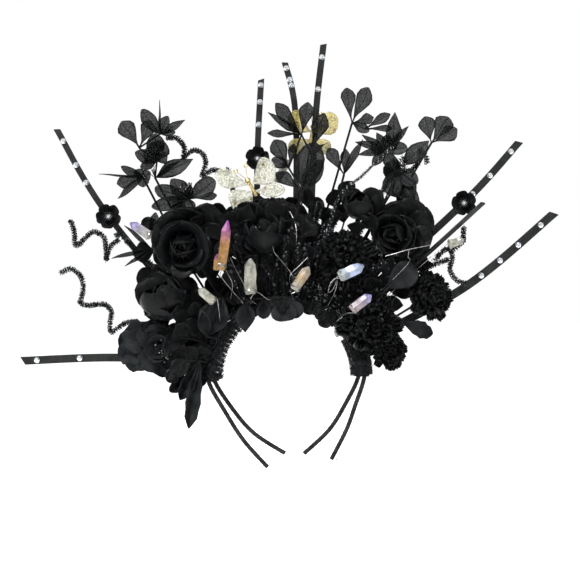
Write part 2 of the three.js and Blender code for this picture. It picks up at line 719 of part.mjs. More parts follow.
function butterflySolid({ at, out, deep, seatAt, across, wings, heading }) {
  const centre = spot(at, out, deep);
  const along = outwardAt(heading);
  const bodyLength = 0.55 * LEAF_LENGTH;
  const head = centre.clone().addScaledVector(along, bodyLength / 2);
  const tail = centre.clone().addScaledVector(along, -bodyLength / 2);
  const sheets = wings.map(([turn, reach, wide]) => {
    const side = leafHeading(turn, 8).normalize();
    const root = centre.clone().addScaledVector(along, 0.2 * bodyLength * Math.sign(side.dot(along)));
    return leafAlong(root, side, {
      length: reach * LEAF_LENGTH, width: wide * LEAF_LENGTH, outline: 'wing', cup: 0.02,
    });
  });
  const antennae = [-22, 22].map((turn) => rod([
    head, head.clone().addScaledVector(outwardAt(heading + turn), bodyLength * 0.8),
  ], WIRE_THICKNESS, 4));
  return [...sheets, ...antennae, rod([tail, head], STEM_THICKNESS * 1.4, 4),
    rod([seat(seatAt, across), centre], WIRE_THICKNESS, 4)];
}

for (const butterfly of BUTTERFLIES) {
  addBound(butterfly.name, butterfly.finish, butterflySolid(butterfly));
}

// Quartz points, six-sided, each bound by wire at its foot and led back to the bundle
const CRYSTALS = [
  { name: 'crystal_lavender', finish: 'quartz', foot: [-44.3, 0.441], tip: [-45.7, 0.534], deep: -0.22,
    size: 0.95, seatAt: -49, across: -0.12 },
  { name: 'crystal_amber', finish: 'amber', foot: [-31.8, 0.178], tip: [-20.6, 0.332], deep: -0.86, size: 1.05,
    seatAt: -30, across: -0.7 },
  { name: 'crystal_tall', finish: 'quartz', foot: [-23.7, 0.05], tip: [-17, 0.174], deep: -0.56, size: 1.25,
    seatAt: -22, across: -0.7 },
  { name: 'crystal_left', finish: 'quartz', foot: [-44, 0.099], tip: [-45.2, 0.176], deep: -0.8, size: 0.95,
    seatAt: -59, across: -0.7 },
  { name: 'crystal_mid', finish: 'amber', foot: [5, 0.039], tip: [11.8, 0.132], deep: -0.56, size: 1.05,
    seatAt: 6, across: -0.7 },
  { name: 'crystal_blue', finish: 'quartz', foot: [27.7, 0.134], tip: [35.1, 0.218], deep: -0.74, size: 1.2,
    seatAt: 28, across: -0.7 },
  { name: 'crystal_pink', finish: 'quartz', foot: [44.3, 0.06], tip: [46.2, 0.152], deep: -0.92, size: 1.05,
    seatAt: 42, across: -0.7 },
  { name: 'crystal_far', finish: 'quartz', foot: [51, 0.493], tip: [52.6, 0.552], deep: -0.3, size: 0.9,
    seatAt: 55, across: -0.12 },
  { name: 'crystal_low', finish: 'quartz', foot: [45.3, 0.006], tip: [52.5, -0.047], deep: -0.34, size: 0.8,
    seatAt: 44, across: -0.4 },
  { name: 'crystal_back', finish: 'quartz', foot: [-3, 0.443], tip: [0.5, 0.527], deep: 0.06, size: 0.8,
    seatAt: -6, across: 0.15 },
];

function crystalSolid({ foot, tip, deep, size, seatAt, across }) {
  const low = spot(foot[0], foot[1], deep);
  const high = spot(tip[0], tip[1], deep);
  const thickness = size * CRYSTAL_THICKNESS;
  const shares = [0, 0.12, 0.26, 0.28, 0.74, 1];
  const spreads = [0.55, 1.1, 1.1, 0.9, 1, 0.12];
  const levels = shares.map((share) => low.clone().lerp(high, share));
  const stations = stationsAlong(levels, new THREE.Vector3(0, 1, 0));
  stations.forEach((station, i) => { station.scale = spreads[i]; });
  return [
    sweep(stations, oval(6, thickness / 2, thickness / 2)),
    rod([seat(seatAt, across), low.clone().lerp(high, 0.08)], WIRE_THICKNESS, 4),
  ];
}

for (const crystal of CRYSTALS) {
  addBound(crystal.name, crystal.finish, crystalSolid(crystal));
}

// Tinsel coils: the places each bends at, from where it leaves the flowers to its free end
const COILS = [
  { name: 'coil_left_high', seatAt: -58, deep: 0.08, bends: [
    [-50, 0.33], [-48.4, 0.432], [-49.8, 0.504], [-55.7, 0.491], [-55.1, 0.546], [-53.5, 0.605],
    [-55.6, 0.643], [-58.6, 0.651], [-54.3, 0.714],
  ] },
  { name: 'coil_left_low', seatAt: -74, deep: 0.08, bends: [
    [-71.6, 0.308], [-76.2, 0.392], [-73.3, 0.406], [-69.3, 0.454], [-71.4, 0.523], [-70.1, 0.543],
    [-66, 0.544], [-63.8, 0.629], [-65.7, 0.656],
  ] },
  { name: 'coil_top', seatAt: -26, deep: 0.08, bends: [
    [-16.5, 0.495], [-20.8, 0.541], [-20.4, 0.585], [-23.4, 0.633], [-25.4, 0.615], [-26.6, 0.714],
  ] },
  { name: 'coil_right', seatAt: 58, deep: -0.02, bends: [
    [52.8, 0.383], [54.8, 0.452], [56.4, 0.45], [60.4, 0.446], [62.5, 0.465], [62.7, 0.51],
  ], arm: [[52, 0.492], [53.1, 0.547], [50.4, 0.583]] },
  { name: 'coil_crown', seatAt: 26, deep: 0.2, bends: [
    [26.7, 0.608], [29.5, 0.597], [31.4, 0.623], [31.5, 0.664], [33.5, 0.653],
  ] },
];
const COIL_SWAY = 0.05;
const COIL_FINENESS = 1.6;

function coilLine(start, bends, deep) {
  const places = bends.map(([at, out], i) => spot(at, out, deep + (i % 2 ? COIL_SWAY : -COIL_SWAY)));
  return rod(smooth([start, ...places], Math.round(bends.length * COIL_FINENESS)), TINSEL_THICKNESS, 4);
}

// A coil may have a second arm from its first bend.
function coilSolid({ seatAt, deep, bends, arm = [] }) {
  const foot = seat(seatAt, 0);
  foot.y = deep * HALF_DEPTH;
  const root = spot(bends[0][0], bends[0][1], deep - COIL_SWAY);
  return [coilLine(foot, bends, deep), ...(arm.length ? [coilLine(root, arm, deep)] : [])];
}

for (const coil of COILS) {
  addBound(coil.name, 'tinsel', coilSolid(coil));
}

// Dark tufted stems fanning out in the middle, and the long beaded stem
const TUFTS = {
  name: 'tufted_stems', seatAt: 10, across: -0.45,
  tips: [[-5, 0.19], [2.5, 0.3], [7, 0.26], [11, 0.38], [15, 0.3], [18, 0.36]],
};

function tuftSolid({ seatAt, across, tips }) {
  const foot = seat(seatAt, across);
  const fork = spot(seatAt, 0.06, -0.2);
  return [
    rod([foot, fork], TINSEL_THICKNESS, 4),
    ball(fork, TINSEL_THICKNESS * 1.8),
    ...tips.map(([at, out]) => rod([fork, spot(at, out, -0.22)], TINSEL_THICKNESS * 1.3, 4)),
  ];
}

addBound(TUFTS.name, 'tinsel', tuftSolid(TUFTS));

const TINSEL_STEM = [[16, 0.378, -0.36], [21, 0.52, -0.36], [24.9, 0.66, -0.36]];
addBound('tinsel_stem', 'tinsel', [rod([
  seat(21, -0.75), ...TINSEL_STEM.map((row) => spot(...row)),
], TINSEL_THICKNESS * 0.6)]);

export default crown;
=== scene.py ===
import bpy
import random
from math import atan2, cos, degrees, pi, radians, sin
from mathutils import Matrix, Vector, noise
from mathutils.geometry import interpolate_bezier


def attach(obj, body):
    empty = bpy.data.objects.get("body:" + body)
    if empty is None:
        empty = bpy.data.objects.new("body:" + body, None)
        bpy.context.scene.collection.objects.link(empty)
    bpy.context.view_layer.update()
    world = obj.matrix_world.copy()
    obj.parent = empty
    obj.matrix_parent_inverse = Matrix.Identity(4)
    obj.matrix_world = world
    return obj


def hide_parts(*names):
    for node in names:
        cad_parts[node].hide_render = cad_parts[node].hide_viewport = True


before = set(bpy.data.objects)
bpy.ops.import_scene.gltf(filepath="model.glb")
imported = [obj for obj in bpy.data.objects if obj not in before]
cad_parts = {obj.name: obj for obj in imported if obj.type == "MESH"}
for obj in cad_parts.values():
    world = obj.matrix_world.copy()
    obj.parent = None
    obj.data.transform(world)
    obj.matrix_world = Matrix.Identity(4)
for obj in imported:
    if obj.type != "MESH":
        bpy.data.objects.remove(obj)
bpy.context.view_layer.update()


# The view. The crown is seen straight from the front with a long lens, its middle a little above the
# ring's top, over a plain pale floor in soft light.
VIEW_DISTANCE = 2.95
VIEW_WIDTH = 0.522
VIEW_MIDDLE = (0.0032, 0.0159)
FLOOR_HEIGHT = -0.165
FLOOR_GLOW = 0.45
DAYLIGHT = 0.55
WHITE = (1, 1, 1, 1)


def settle():
    """The newest shape, with its place, turn and size made part of its mesh."""
    bpy.ops.object.transform_apply(location=True, rotation=True, scale=True)
    return bpy.context.object


bpy.ops.object.select_all(action="DESELECT")
bpy.ops.object.camera_add(
    location=(VIEW_MIDDLE[0], -VIEW_DISTANCE, VIEW_MIDDLE[1]), rotation=(radians(90), 0, 0))
camera = bpy.context.object
camera.data.lens = camera.data.sensor_width * VIEW_DISTANCE / VIEW_WIDTH
bpy.context.scene.camera = camera

bpy.ops.mesh.primitive_plane_add(size=30, location=(0, 0, FLOOR_HEIGHT))
floor = settle()
floor.name = "floor"
floor_paint = bpy.data.materials.new("pale_floor")
floor_paint.use_nodes = True
floor_shader = floor_paint.node_tree.nodes["Principled BSDF"]
floor_shader.inputs["Base Color"].default_value = (0.97, 0.97, 0.97, 1)
floor_shader.inputs["Roughness"].default_value = 0.9
floor_shader.inputs["Emission Color"].default_value = WHITE
floor_shader.inputs["Emission Strength"].default_value = FLOOR_GLOW
floor.data.materials.append(floor_paint)


def soft_light(name, place, size, power):
    bpy.ops.object.light_add(type="AREA", location=place)
    light = bpy.context.object
    light.name = name
    light.data.shape = "DISK"
    light.data.size = size
    light.data.energy = power
    light.rotation_euler = (Vector((0, 0, 0.05)) - Vector(place)).to_track_quat("-Z", "Y").to_euler()


soft_light("key_light", (-1.1, -1.6, 1.9), 0.55, 82)
soft_light("fill_light", (1.5, -1.6, 0.7), 1.2, 8)
soft_light("back_light", (0.4, 1.8, 1.5), 1.0, 12)
bpy.ops.object.light_add(type="SUN", rotation=(radians(35), 0, radians(-20)))
sky = bpy.context.object
sky.name = "sky_light"
sky.data.energy = 0.6
sky.data.angle = radians(60)
studio = bpy.data.worlds.new("studio")
studio.use_nodes = True
sky_nodes, sky_links = studio.node_tree.nodes, studio.node_tree.links
daylight = sky_nodes["Background"]
daylight.inputs["Color"].default_value = WHITE
daylight.inputs["Strength"].default_value = DAYLIGHT
backdrop = sky_nodes.new("ShaderNodeBackground")
backdrop.inputs["Color"].default_value = WHITE
backdrop.inputs["Strength"].default_value = 1.0
seen = sky_nodes.new("ShaderNodeLightPath")
choice = sky_nodes.new("ShaderNodeMixShader")
sky_links.new(seen.outputs["Is Camera Ray"], choice.inputs["Fac"])
sky_links.new(daylight.outputs["Background"], choice.inputs[1])
sky_links.new(backdrop.outputs["Background"], choice.inputs[2])
sky_links.new(choice.outputs["Shader"], sky_nodes["World Output"].inputs["Surface"])
bpy.context.scene.world = studio
bpy.context.scene.view_settings.view_transform = "Standard"
bpy.context.scene.view_settings.gamma = 0.88


# The double headband: two wire rods in a C ring, wound with charcoal floral tape, side by side through
# the garland, with four blunt ends below.
BAND_RADIUS = 0.0675
SPRAY_REACH = 0.240
HALF_DEPTH = 0.062
CORE_DEPTH = 0.026
CORE_THICKNESS = 0.014
CORE_START = -95
CORE_END = 91
RING_CENTRE = CORE_THICKNESS / 2 - BAND_RADIUS
FRONT = Vector((0, -1, 0))
ROD_THICKNESS = 0.004
ROD_SPREAD_DEPTH = 0.014
ROD_SPREAD_RADIAL = 0.005
TAPE_PITCH = 0.0042
ROD_STEP = 0.0007


def outward(at):
    """The way out from the ring's centre, at degrees from the top towards the right."""
    return Vector((sin(radians(at)), 0, cos(radians(at))))


def spot(at, out, deep):
    """A place out from the ring, in shares of the sprays' reach, and deep in shares of the half depth."""
    place = outward(at) * (BAND_RADIUS + out * SPRAY_REACH)
    return Vector((place.x, deep * HALF_DEPTH, place.z + RING_CENTRE))


def seat(at, across):
    """A place on the bundle, where a stem goes in."""
    place = outward(at) * BAND_RADIUS
    return Vector((place.x, across * CORE_DEPTH / 2, place.z + RING_CENTRE))


def flow(points, step):
    """Places about a step apart on a smooth line through the given ones."""
    points = [Vector(point) for point in points]
    last = len(points) - 1
    line = []
    for i in range(last):
        before, here, there, after = points[max(i - 1, 0)], points[i], points[i + 1], points[min(i + 2, last)]
        count = max(2, round((there - here).length / step) + 1)
        line += interpolate_bezier(here, here + (there - before) / 6, there - (after - here) / 6, there,
                                   count)[:-1]
    return line + [points[last]]


def wire(name, points, thickness, roundness=1):
    """A round wire through the points: a path, thickened, and made a mesh."""
    bpy.ops.object.select_all(action="DESELECT")
    bpy.ops.curve.primitive_nurbs_path_add()
    path = bpy.context.object
    path.data.splines.clear()
    line = path.data.splines.new("POLY")
    line.points.add(len(points) - 1)
    for knot, place in zip(line.points, points):
        knot.co = (*place, 1)
    path.data.bevel_depth = thickness / 2
    path.data.bevel_resolution = roundness
    path.data.use_fill_caps = True
    bpy.ops.object.convert(target="MESH")
    made = bpy.context.object
    made.name = name
    bpy.ops.object.shade_smooth_by_angle(angle=radians(50))
    return made


def wind(tube, points, sides, pitch, lift):
    """Tape wound round a tube: each turn's edge lies a little over the turn before it."""
    far = 0
    for ring, place in enumerate(points):
        far += (place - points[ring - 1]).length if ring else 0
        for side in range(sides):
            vertex = tube.data.vertices[ring * sides + side]
            turn = (far / pitch + side / sides) % 1
            vertex.co = place + (vertex.co - place) * (1 + lift * turn)


def finish(name, colour, roughness, metallic=0.0, specular=0.5):
    """A material with its shader, to which each section adds its own texture."""
    material = bpy.data.materials.new(name)
    material.use_nodes = True
    shader = material.node_tree.nodes["Principled BSDF"]
    shader.inputs["Base Color"].default_value = (*colour, 1)
    shader.inputs["Roughness"].default_value = roughness
    shader.inputs["Metallic"].default_value = metallic
    shader.inputs["Specular IOR Level"].default_value = specular
    return material


def node(material, kind, **settings):
    made = material.node_tree.nodes.new(kind)
    for key, value in settings.items():
        if key in made.inputs:
            made.inputs[key].default_value = value
        else:
            setattr(made, key, value)
    return made


def link(material, source, output, target, socket):
    material.node_tree.links.new(source.outputs[output], target.inputs[socket])


def mottle(material, size, dark, light, source="Object"):
    """The colour shifts softly between two shades, as dye does."""
    shader = material.node_tree.nodes["Principled BSDF"]
    where = node(material, "ShaderNodeTexCoord")
    cloud = node(material, "ShaderNodeTexNoise", Scale=1 / size, Detail=4.0)
    shades = node(material, "ShaderNodeValToRGB")
    shades.color_ramp.elements[0].position = 0.35
    shades.color_ramp.elements[0].color = (*dark, 1)
    shades.color_ramp.elements[1].position = 0.68
    shades.color_ramp.elements[1].color = (*light, 1)
    link(material, where, source, cloud, "Vector")
    link(material, cloud, "Fac", shades, "Fac")
    link(material, shades, "Color", shader, "Base Color")


def grain(material, size, depth, kind="noise"):
    """A fine surface relief, its depth in metres."""
    shader = material.node_tree.nodes["Principled BSDF"]
    where = node(material, "ShaderNodeTexCoord")
    if kind == "noise":
        relief = node(material, "ShaderNodeTexNoise", Scale=1 / size, Detail=3.0)
    else:
        relief = node(material, "ShaderNodeTexWave", Scale=1 / size, Distortion=2.0, bands_direction=kind)
    bump = node(material, "ShaderNodeBump", Strength=1.0, Distance=depth)
    link(material, where, "Object" if kind == "noise" else "UV", relief, "Vector")
    link(material, relief, "Fac", bump, "Height")
    link(material, bump, "Normal", shader, "Normal")


def dress(piece, material_slot, *nodes):
    """The finished piece rides with the crown and stands for its CAD nodes."""
    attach(piece, "root")
    if nodes:
        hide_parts(*nodes)


floral_tape = finish("charcoal_floral_tape", (0.02, 0.022, 0.022), 0.62, specular=0.2)
mottle(floral_tape, 0.006, (0.006, 0.007, 0.007), (0.026, 0.028, 0.027))
grain(floral_tape, 0.0006, 0.00012)

BANDS = [
    {"name": "band_front", "side": -1,
     "left": [(-168.5, 1.25), (-147, 1.04), (-122, 0.95)],
     "right": [(114, 1.0), (132.5, 1.08), (152, 1.27)]},
    {"name": "band_rear", "side": 1,
     "left": [(-179, 1.05), (-153, 0.9), (-127.5, 0.85)],
     "right": [(115, 0.88), (142, 0.93), (167.5, 1.08)]},
]


def leg(rows, side):
    places = [outward(at) * share * BAND_RADIUS for at, share in rows]
    return [Vector((place.x, side * ROD_SPREAD_DEPTH / 2, place.z + RING_CENTRE)) for place in places]


for band in BANDS:
    side = band["side"]
    arc = []
    for step in range(14):
        at = CORE_START + (CORE_END - CORE_START) * step / 13
        place = seat(at, 0) - outward(at) * side * ROD_SPREAD_RADIAL / 2
        arc.append(Vector((place.x, side * ROD_SPREAD_DEPTH / 2, place.z)))
    line = flow(leg(band["left"], side) + arc + leg(band["right"], side), ROD_STEP)
    rod = wire("wound_" + band["name"], line, ROD_THICKNESS * 0.94, roundness=3)
    wind(rod, line, 10, TAPE_PITCH, 0.1)
    rod.data.materials.append(floral_tape)
    dress(rod, "rod", band["name"])


# The taped bundle: the flowers' stems laid along the band and bound with black tape, an oval roll that
# both rods run through, with a thicker binding at each end.
bundle_tape = finish("black_bundle_tape", (0.006, 0.006, 0.007), 0.6, specular=0.15)
mottle(bundle_tape, 0.008, (0.003, 0.003, 0.0035), (0.01, 0.011, 0.012))
grain(bundle_tape, 0.0007, 0.0002)


TURN_DEGREES = 8.4
BINDING_INSET = 1.4
BINDING_END = 12.9
BINDING_PROUD = 0.0014


def bound_roll(name, start, end, steps, grow, lift, slot_node):
    """An oval spun round the ring's centre, its ends closed, its turns of tape each over the last."""
    bpy.ops.object.select_all(action="DESELECT")
    bpy.ops.mesh.primitive_circle_add(vertices=24, radius=1, rotation=(0, radians(90), 0))
    roll = settle()
    middle = (0, 0, 0)
    bpy.ops.object.mode_set(mode="EDIT")
    bpy.ops.mesh.select_all(action="SELECT")
    bpy.ops.transform.resize(value=(1, CORE_DEPTH / 2 + grow, CORE_THICKNESS / 2 + grow),
                             center_override=middle)
    bpy.ops.transform.translate(value=(0, 0, BAND_RADIUS))
    bpy.ops.mesh.spin(steps=steps, angle=radians(end - start), center=middle, axis=(0, -1, 0))
    bpy.ops.mesh.select_all(action="SELECT")
    bpy.ops.mesh.fill_holes(sides=0)
    bpy.ops.mesh.normals_make_consistent(inside=False)
    bpy.ops.object.mode_set(mode="OBJECT")
    for vertex in roll.data.vertices:
        gone = degrees(atan2(vertex.co.x, vertex.co.z))
        centre = outward(gone) * BAND_RADIUS
        off = vertex.co - centre
        corner = atan2(off.dot(outward(gone)), off.y) / (2 * pi)
        proud = 1 + lift * ((gone / TURN_DEGREES + corner) % 1)
        off.rotate(Matrix.Rotation(radians(start), 3, "Y"))
        vertex.co = outward(gone + start) * BAND_RADIUS + off * proud + Vector((0, 0, RING_CENTRE))
    roll.name = name
    roll.data.materials.append(bundle_tape)
    dress(roll, "tape", slot_node)


bound_roll("taped_bundle", CORE_START, CORE_END, 120, -0.0004, 0.05, "taped_core")
bound_roll("binding_left", CORE_START + BINDING_INSET, CORE_START + BINDING_END, 9, BINDING_PROUD, 0.12,
           "wrap_left")
bound_roll("binding_right", CORE_END - BINDING_END, CORE_END - BINDING_INSET, 9, BINDING_PROUD, 0.12,
           "wrap_right")


# The clear stones: round cut glass on a foil back, each in a thin plated cup, glued on.
STONE_DIAMETER = 0.0058
cut_glass = finish("foiled_glass", (0.86, 0.88, 0.9), 0.08, metallic=0.75)
mottle(cut_glass, 0.0016, (0.55, 0.6, 0.68), (0.98, 0.98, 0.98))
plated_cup = finish("plated_cup", (0.35, 0.36, 0.38), 0.25, metallic=1.0)
mottle(plated_cup, 0.002, (0.2, 0.21, 0.22), (0.5, 0.51, 0.52))


def set_on(pattern, place, facing, size):
    """A copy of a shape, its own mesh, its up side turned to facing."""
    turn = facing.to_track_quat("Z", "Y").to_matrix().to_4x4()
    mesh = pattern.copy()
    mesh.transform(Matrix.Translation(place) @ turn @ Matrix.Scale(size, 4))
    return mesh


def keep_pattern(shape):
    """The shape's mesh is kept as a pattern to copy, and its object is cleared away."""
    mesh = shape.data
    bpy.data.objects.remove(shape)
    return mesh


bpy.ops.object.select_all(action="DESELECT")
bpy.ops.mesh.primitive_cylinder_add(vertices=12, radius=0.42, depth=0.2, location=(0, 0, 0.1))
stone = settle()
bpy.ops.object.mode_set(mode="EDIT")
bpy.ops.mesh.select_all(action="DESELECT")
bpy.ops.object.mode_set(mode="OBJECT")
for face in stone.data.polygons:
    face.select = face.normal.z > 0.9
bpy.ops.object.mode_set(mode="EDIT")
bpy.ops.mesh.inset(thickness=0.17, depth=0.16)
bpy.ops.object.mode_set(mode="OBJECT")
stone.data.materials.append(cut_glass)
bpy.ops.mesh.primitive_torus_add(
    major_segments=16, minor_segments=6, major_radius=0.43, minor_radius=0.07, location=(0, 0, 0.1))
cup = settle()
cup.data.materials.append(plated_cup)
stone.select_set(True)
bpy.context.view_layer.objects.active = stone
bpy.ops.object.join()
STONE = keep_pattern(stone)


def gather(name, meshes):
    """The parts, joined as one piece."""
    bpy.ops.object.select_all(action="DESELECT")
    for mesh in meshes:
        part = bpy.data.objects.new(name, mesh)
        bpy.context.collection.objects.link(part)
        part.select_set(True)
        bpy.context.view_layer.objects.active = part
    bpy.ops.object.join()
    piece = bpy.context.object
    piece.name = name
    return piece


# Eight flat strips of black ribbon-covered boning with slant-cut ends. They stand out behind the
# flowers, their feet in the bundle, with clear stones glued along the front.
RAY_WIDTH = 0.0072
RAY_THICKNESS = 0.002
RAYS = [
    {"name": "ray_left_low", "seat": -81, "mid": (-84.3, 0.365), "tip": (-87, 0.712), "width": 1,
     "slant": 0.6, "stones": [0.7, 0.92]},
    {"name": "ray_left_high", "seat": -68, "mid": (-48.2, 0.622), "tip": (-43.1, 0.983), "width": 0.76,
     "slant": -0.5, "stones": [0.78, 0.857, 0.95]},
    {"name": "ray_top_left", "seat": -22, "mid": (-8.1, 0.499), "tip": (-4.9, 0.833), "width": 0.76,
     "slant": 0.4, "stones": [0.8, 0.9, 0.98]},
    {"name": "ray_top_mid", "seat": 6, "mid": (2.2, 0.661), "tip": (-0.3, 0.893), "width": 0.76,
     "slant": -0.3, "stones": [0.9, 0.934, 0.968]},
    {"name": "ray_top_right", "seat": 17, "mid": (6.6, 0.647), "tip": (6.4, 0.969), "width": 0.8,
     "slant": 0.3, "stones": [0.834, 0.957]},
    {"name": "ray_right_high", "seat": 42, "mid": (45.9, 0.635), "tip": (45, 0.957), "width": 0.92,
     "slant": 0.5, "stones": [0.73, 0.833, 0.955]},
    {"name": "ray_right_mid", "seat": 50, "mid": (49.3, 0.404), "tip": (48.8, 0.698), "width": 0.8,
     "deep": -0.1, "slant": 0.4, "turned": 62, "stones": []},
    {"name": "ray_right_low", "seat": 68, "mid": (63.8, 0.473), "tip": (58.9, 0.895), "width": 1.05,
     "slant": 0.6, "stones": [0.61, 0.7, 0.807, 0.935]},
]
RAY_DEEP = 0.145
RAY_STEPS = 40
ribbon = finish("black_grosgrain", (0.012, 0.013, 0.013), 0.55, specular=0.25)
mottle(ribbon, 0.01, (0.007, 0.008, 0.008), (0.018, 0.019, 0.019))
grain(ribbon, 0.0005, 0.00015)


def ray_line(ray):
    deep = ray.get("deep", RAY_DEEP)
    foot = seat(ray["seat"], 0)
    foot.y = deep * HALF_DEPTH
    return even([foot, spot(*ray["mid"], deep), spot(*ray["tip"], deep)], RAY_STEPS)


def even(points, count):
    """Places evenly spaced along a smooth line through the points."""
    line = flow(points, 0.002)
    fars = [0]
    for before, here in zip(line, line[1:]):
        fars.append(fars[-1] + (here - before).length)
    places = []
    at = 0
    for step in range(count + 1):
        far = fars[-1] * step / count
        while at < len(line) - 2 and fars[at + 1] < far:
            at += 1
        share = (far - fars[at]) / (fars[at + 1] - fars[at])
        places.append(line[at].lerp(line[at + 1], share))
    return places


def ray_faces(ray, line):
    """The strip's face direction at each place: to the front, or turned edge-on."""
    faces = []
    for i in range(len(line)):
        along = (line[min(i + 1, len(line) - 1)] - line[max(i - 1, 0)]).normalized()
        flat = (FRONT - along * FRONT.dot(along)).normalized()
        flat.rotate(Matrix.Rotation(radians(ray.get("turned", 0)), 3, along))
        faces.append((along, flat))
    return faces


for ray in RAYS:
    line = ray_line(ray)
    faces = ray_faces(ray, line)
    bpy.ops.object.select_all(action="DESELECT")
    bpy.ops.mesh.primitive_cube_add(size=1)
    strip = bpy.context.object
    bpy.ops.object.mode_set(mode="EDIT")
    bpy.ops.mesh.select_all(action="SELECT")
    for step in range(1, RAY_STEPS):
        bpy.ops.mesh.select_all(action="SELECT")
        bpy.ops.mesh.bisect(plane_co=(0, 0, step / RAY_STEPS - 0.5), plane_no=(0, 0, 1))
    bpy.ops.object.mode_set(mode="OBJECT")
    for vertex in strip.data.vertices:
        share = vertex.co.z + 0.5
        at = min(RAY_STEPS, max(0, round(share * RAY_STEPS)))
        along, flat = faces[at]
        side = along.cross(flat)
        slant = ray["slant"] * vertex.co.x * ray["width"] * RAY_WIDTH if at == RAY_STEPS else 0
        vertex.co = (line[at] + side * vertex.co.x * ray["width"] * RAY_WIDTH + along * slant
                     + flat * vertex.co.y * RAY_THICKNESS)
    bpy.ops.object.mode_set(mode="EDIT")
    bpy.ops.mesh.select_all(action="SELECT")
    bpy.ops.mesh.normals_make_consistent(inside=False)
    bpy.ops.object.mode_set(mode="OBJECT")
    edge = strip.modifiers.new("edge", "BEVEL")
    edge.width = 0.0004
    edge.segments = 2
    bpy.ops.object.modifier_apply(modifier="edge")
    strip.data.materials.append(ribbon)
    stones = []
    for share in ray["stones"]:
        at = round(share * RAY_STEPS)
        along, flat = faces[at]
        stones.append(set_on(STONE, line[at] + flat * RAY_THICKNESS / 2, flat, STONE_DIAMETER))
    strip = gather("strip_" + ray["name"], [keep_pattern(strip), *stones])
    dress(strip, "ribbon", ray["name"])


# Petals and leaves are cut from cloth and pressed to shape. Each cut lies along Z, one unit long and
# wide, its hollow side to Y, and every flower and spray takes copies of these.
LEAF_COLUMNS = 6
PETAL_COLUMNS = 10
FRILL_COLUMNS = 16


def cut_cloth(skew, blunt, cup, curl, roll=0, waves=0, frill=0.0, teeth=0, columns=LEAF_COLUMNS, sweep=0.0,
              lobes=0.0):
    """One pressed cut. Skew and blunt shape its outline, cup and frill its section, curl bends it forward
    and roll turns its tip back; lobes, teeth and sweep shape its edge and lean."""
    bpy.ops.object.select_all(action="DESELECT")
    bpy.ops.mesh.primitive_grid_add(x_subdivisions=columns, y_subdivisions=9 if columns == 6 else 12,
                                    size=1)
    cut = bpy.context.object
    spine = [(0.0, 0.0, 0.0)]
    for step in range(1, 101):
        share = step / 100
        bend = radians(curl * share - roll * max(0.0, share - 0.55) ** 2 * 5)
        spine.append((spine[-1][0] + sin(bend) / 100, spine[-1][1] + cos(bend) / 100, bend))
    for vertex in cut.data.vertices:
        across = vertex.co.x * 2
        along = (1 - cos(pi * (vertex.co.y + 0.5))) / 2
        width = max(0.05, sin(pi * min(0.999, along) ** skew) ** blunt) * (1 + lobes * sin(along * 24))
        far, high, bend = spine[round(along * 100)]
        lift = cup * across * across * width + frill * along * along * sin(across * pi * waves / 2)
        if teeth and along > 0.99:
            high += 0.09 * cos(across * pi * teeth)
        vertex.co = (across * width / 2 + sweep * along * along, far + lift * cos(bend),
                     high - lift * sin(bend))
    bpy.ops.object.shade_smooth()
    return keep_pattern(cut)


chance = random.Random(7)
noise.seed_set(7)
LEAF_ROUND = cut_cloth(2.3, 0.72, cup=0.12, curl=18)
LEAF_POINTED = cut_cloth(1.0, 1.0, cup=0.14, curl=14)
LEAF_SPIKE = cut_cloth(0.55, 1.2, cup=0.2, curl=8)
LEAF_PETAL = cut_cloth(1.5, 0.5, cup=0.16, curl=26, roll=20)
LEAF_RIBBED = cut_cloth(1.25, 0.5, cup=0.22, curl=20, waves=9, frill=0.09, columns=FRILL_COLUMNS)
LEAF_LOBED = cut_cloth(1.4, 0.5, cup=0.12, curl=12, waves=3, frill=0.02, columns=PETAL_COLUMNS, lobes=0.12)
PETAL_OPEN = cut_cloth(2.0, 0.42, cup=0.24, curl=48, roll=75, waves=3, frill=0.02, columns=PETAL_COLUMNS)
PETAL_FLAT = cut_cloth(1.7, 0.45, cup=0.16, curl=22, roll=45, waves=3, frill=0.025, columns=PETAL_COLUMNS)
PETAL_SCALLOP = cut_cloth(1.7, 0.38, cup=0.1, curl=12, roll=20, waves=3, frill=0.03, columns=PETAL_COLUMNS,
                          lobes=0.09)
PETAL_SQUARE = cut_cloth(1.25, 0.16, cup=0.14, curl=45, roll=30)
PETAL_WRAPPED = cut_cloth(1.5, 0.42, cup=0.45, curl=62, roll=25, waves=3, frill=0.03, columns=PETAL_COLUMNS)
PETAL_BALL = cut_cloth(1.15, 0.45, cup=0.3, curl=118, columns=PETAL_COLUMNS)
PETAL_FRILL = cut_cloth(3.2, 0.16, cup=0.1, curl=20, roll=40, waves=7, frill=0.12, teeth=7,
                        columns=FRILL_COLUMNS)
FORE_WING = cut_cloth(2.0, 0.6, cup=0.02, curl=6, waves=2, frill=0.02, sweep=-0.25)
FORE_WING_FAR = cut_cloth(2.0, 0.6, cup=0.02, curl=6, waves=2, frill=0.02, sweep=0.25)
HIND_WING = cut_cloth(1.7, 0.6, cup=0.02, curl=4, waves=3, frill=0.02)


def lay(pattern, foot, heading, facing, width, length):
    """A copy of a cut, its own mesh, set with its foot at a place, along a heading, hollow side to facing."""
    along = heading.normalized()
    hollow = (facing - along * facing.dot(along)).normalized()
    side = hollow.cross(along)
    size = Matrix.Diagonal((width, length, length, 1))
    turn = Matrix((side, hollow, along)).transposed().to_4x4()
    mesh = pattern.copy()
    mesh.transform(Matrix.Translation(foot) @ turn @ size)
    return mesh


def lean_forward(turn, lean):
    """A direction at a turn from straight up, leaning out of the crown's plane towards the front."""
    return outward(turn) + FRONT * (sin(radians(lean)) / cos(radians(lean)))


def crumple(piece, depth, size):
    """Soft dents and ripples all over, so that no two petals are the same."""
    for vertex in piece.data.vertices:
        dent = noise.noise_vector(vertex.co / size)
        vertex.co += dent * depth


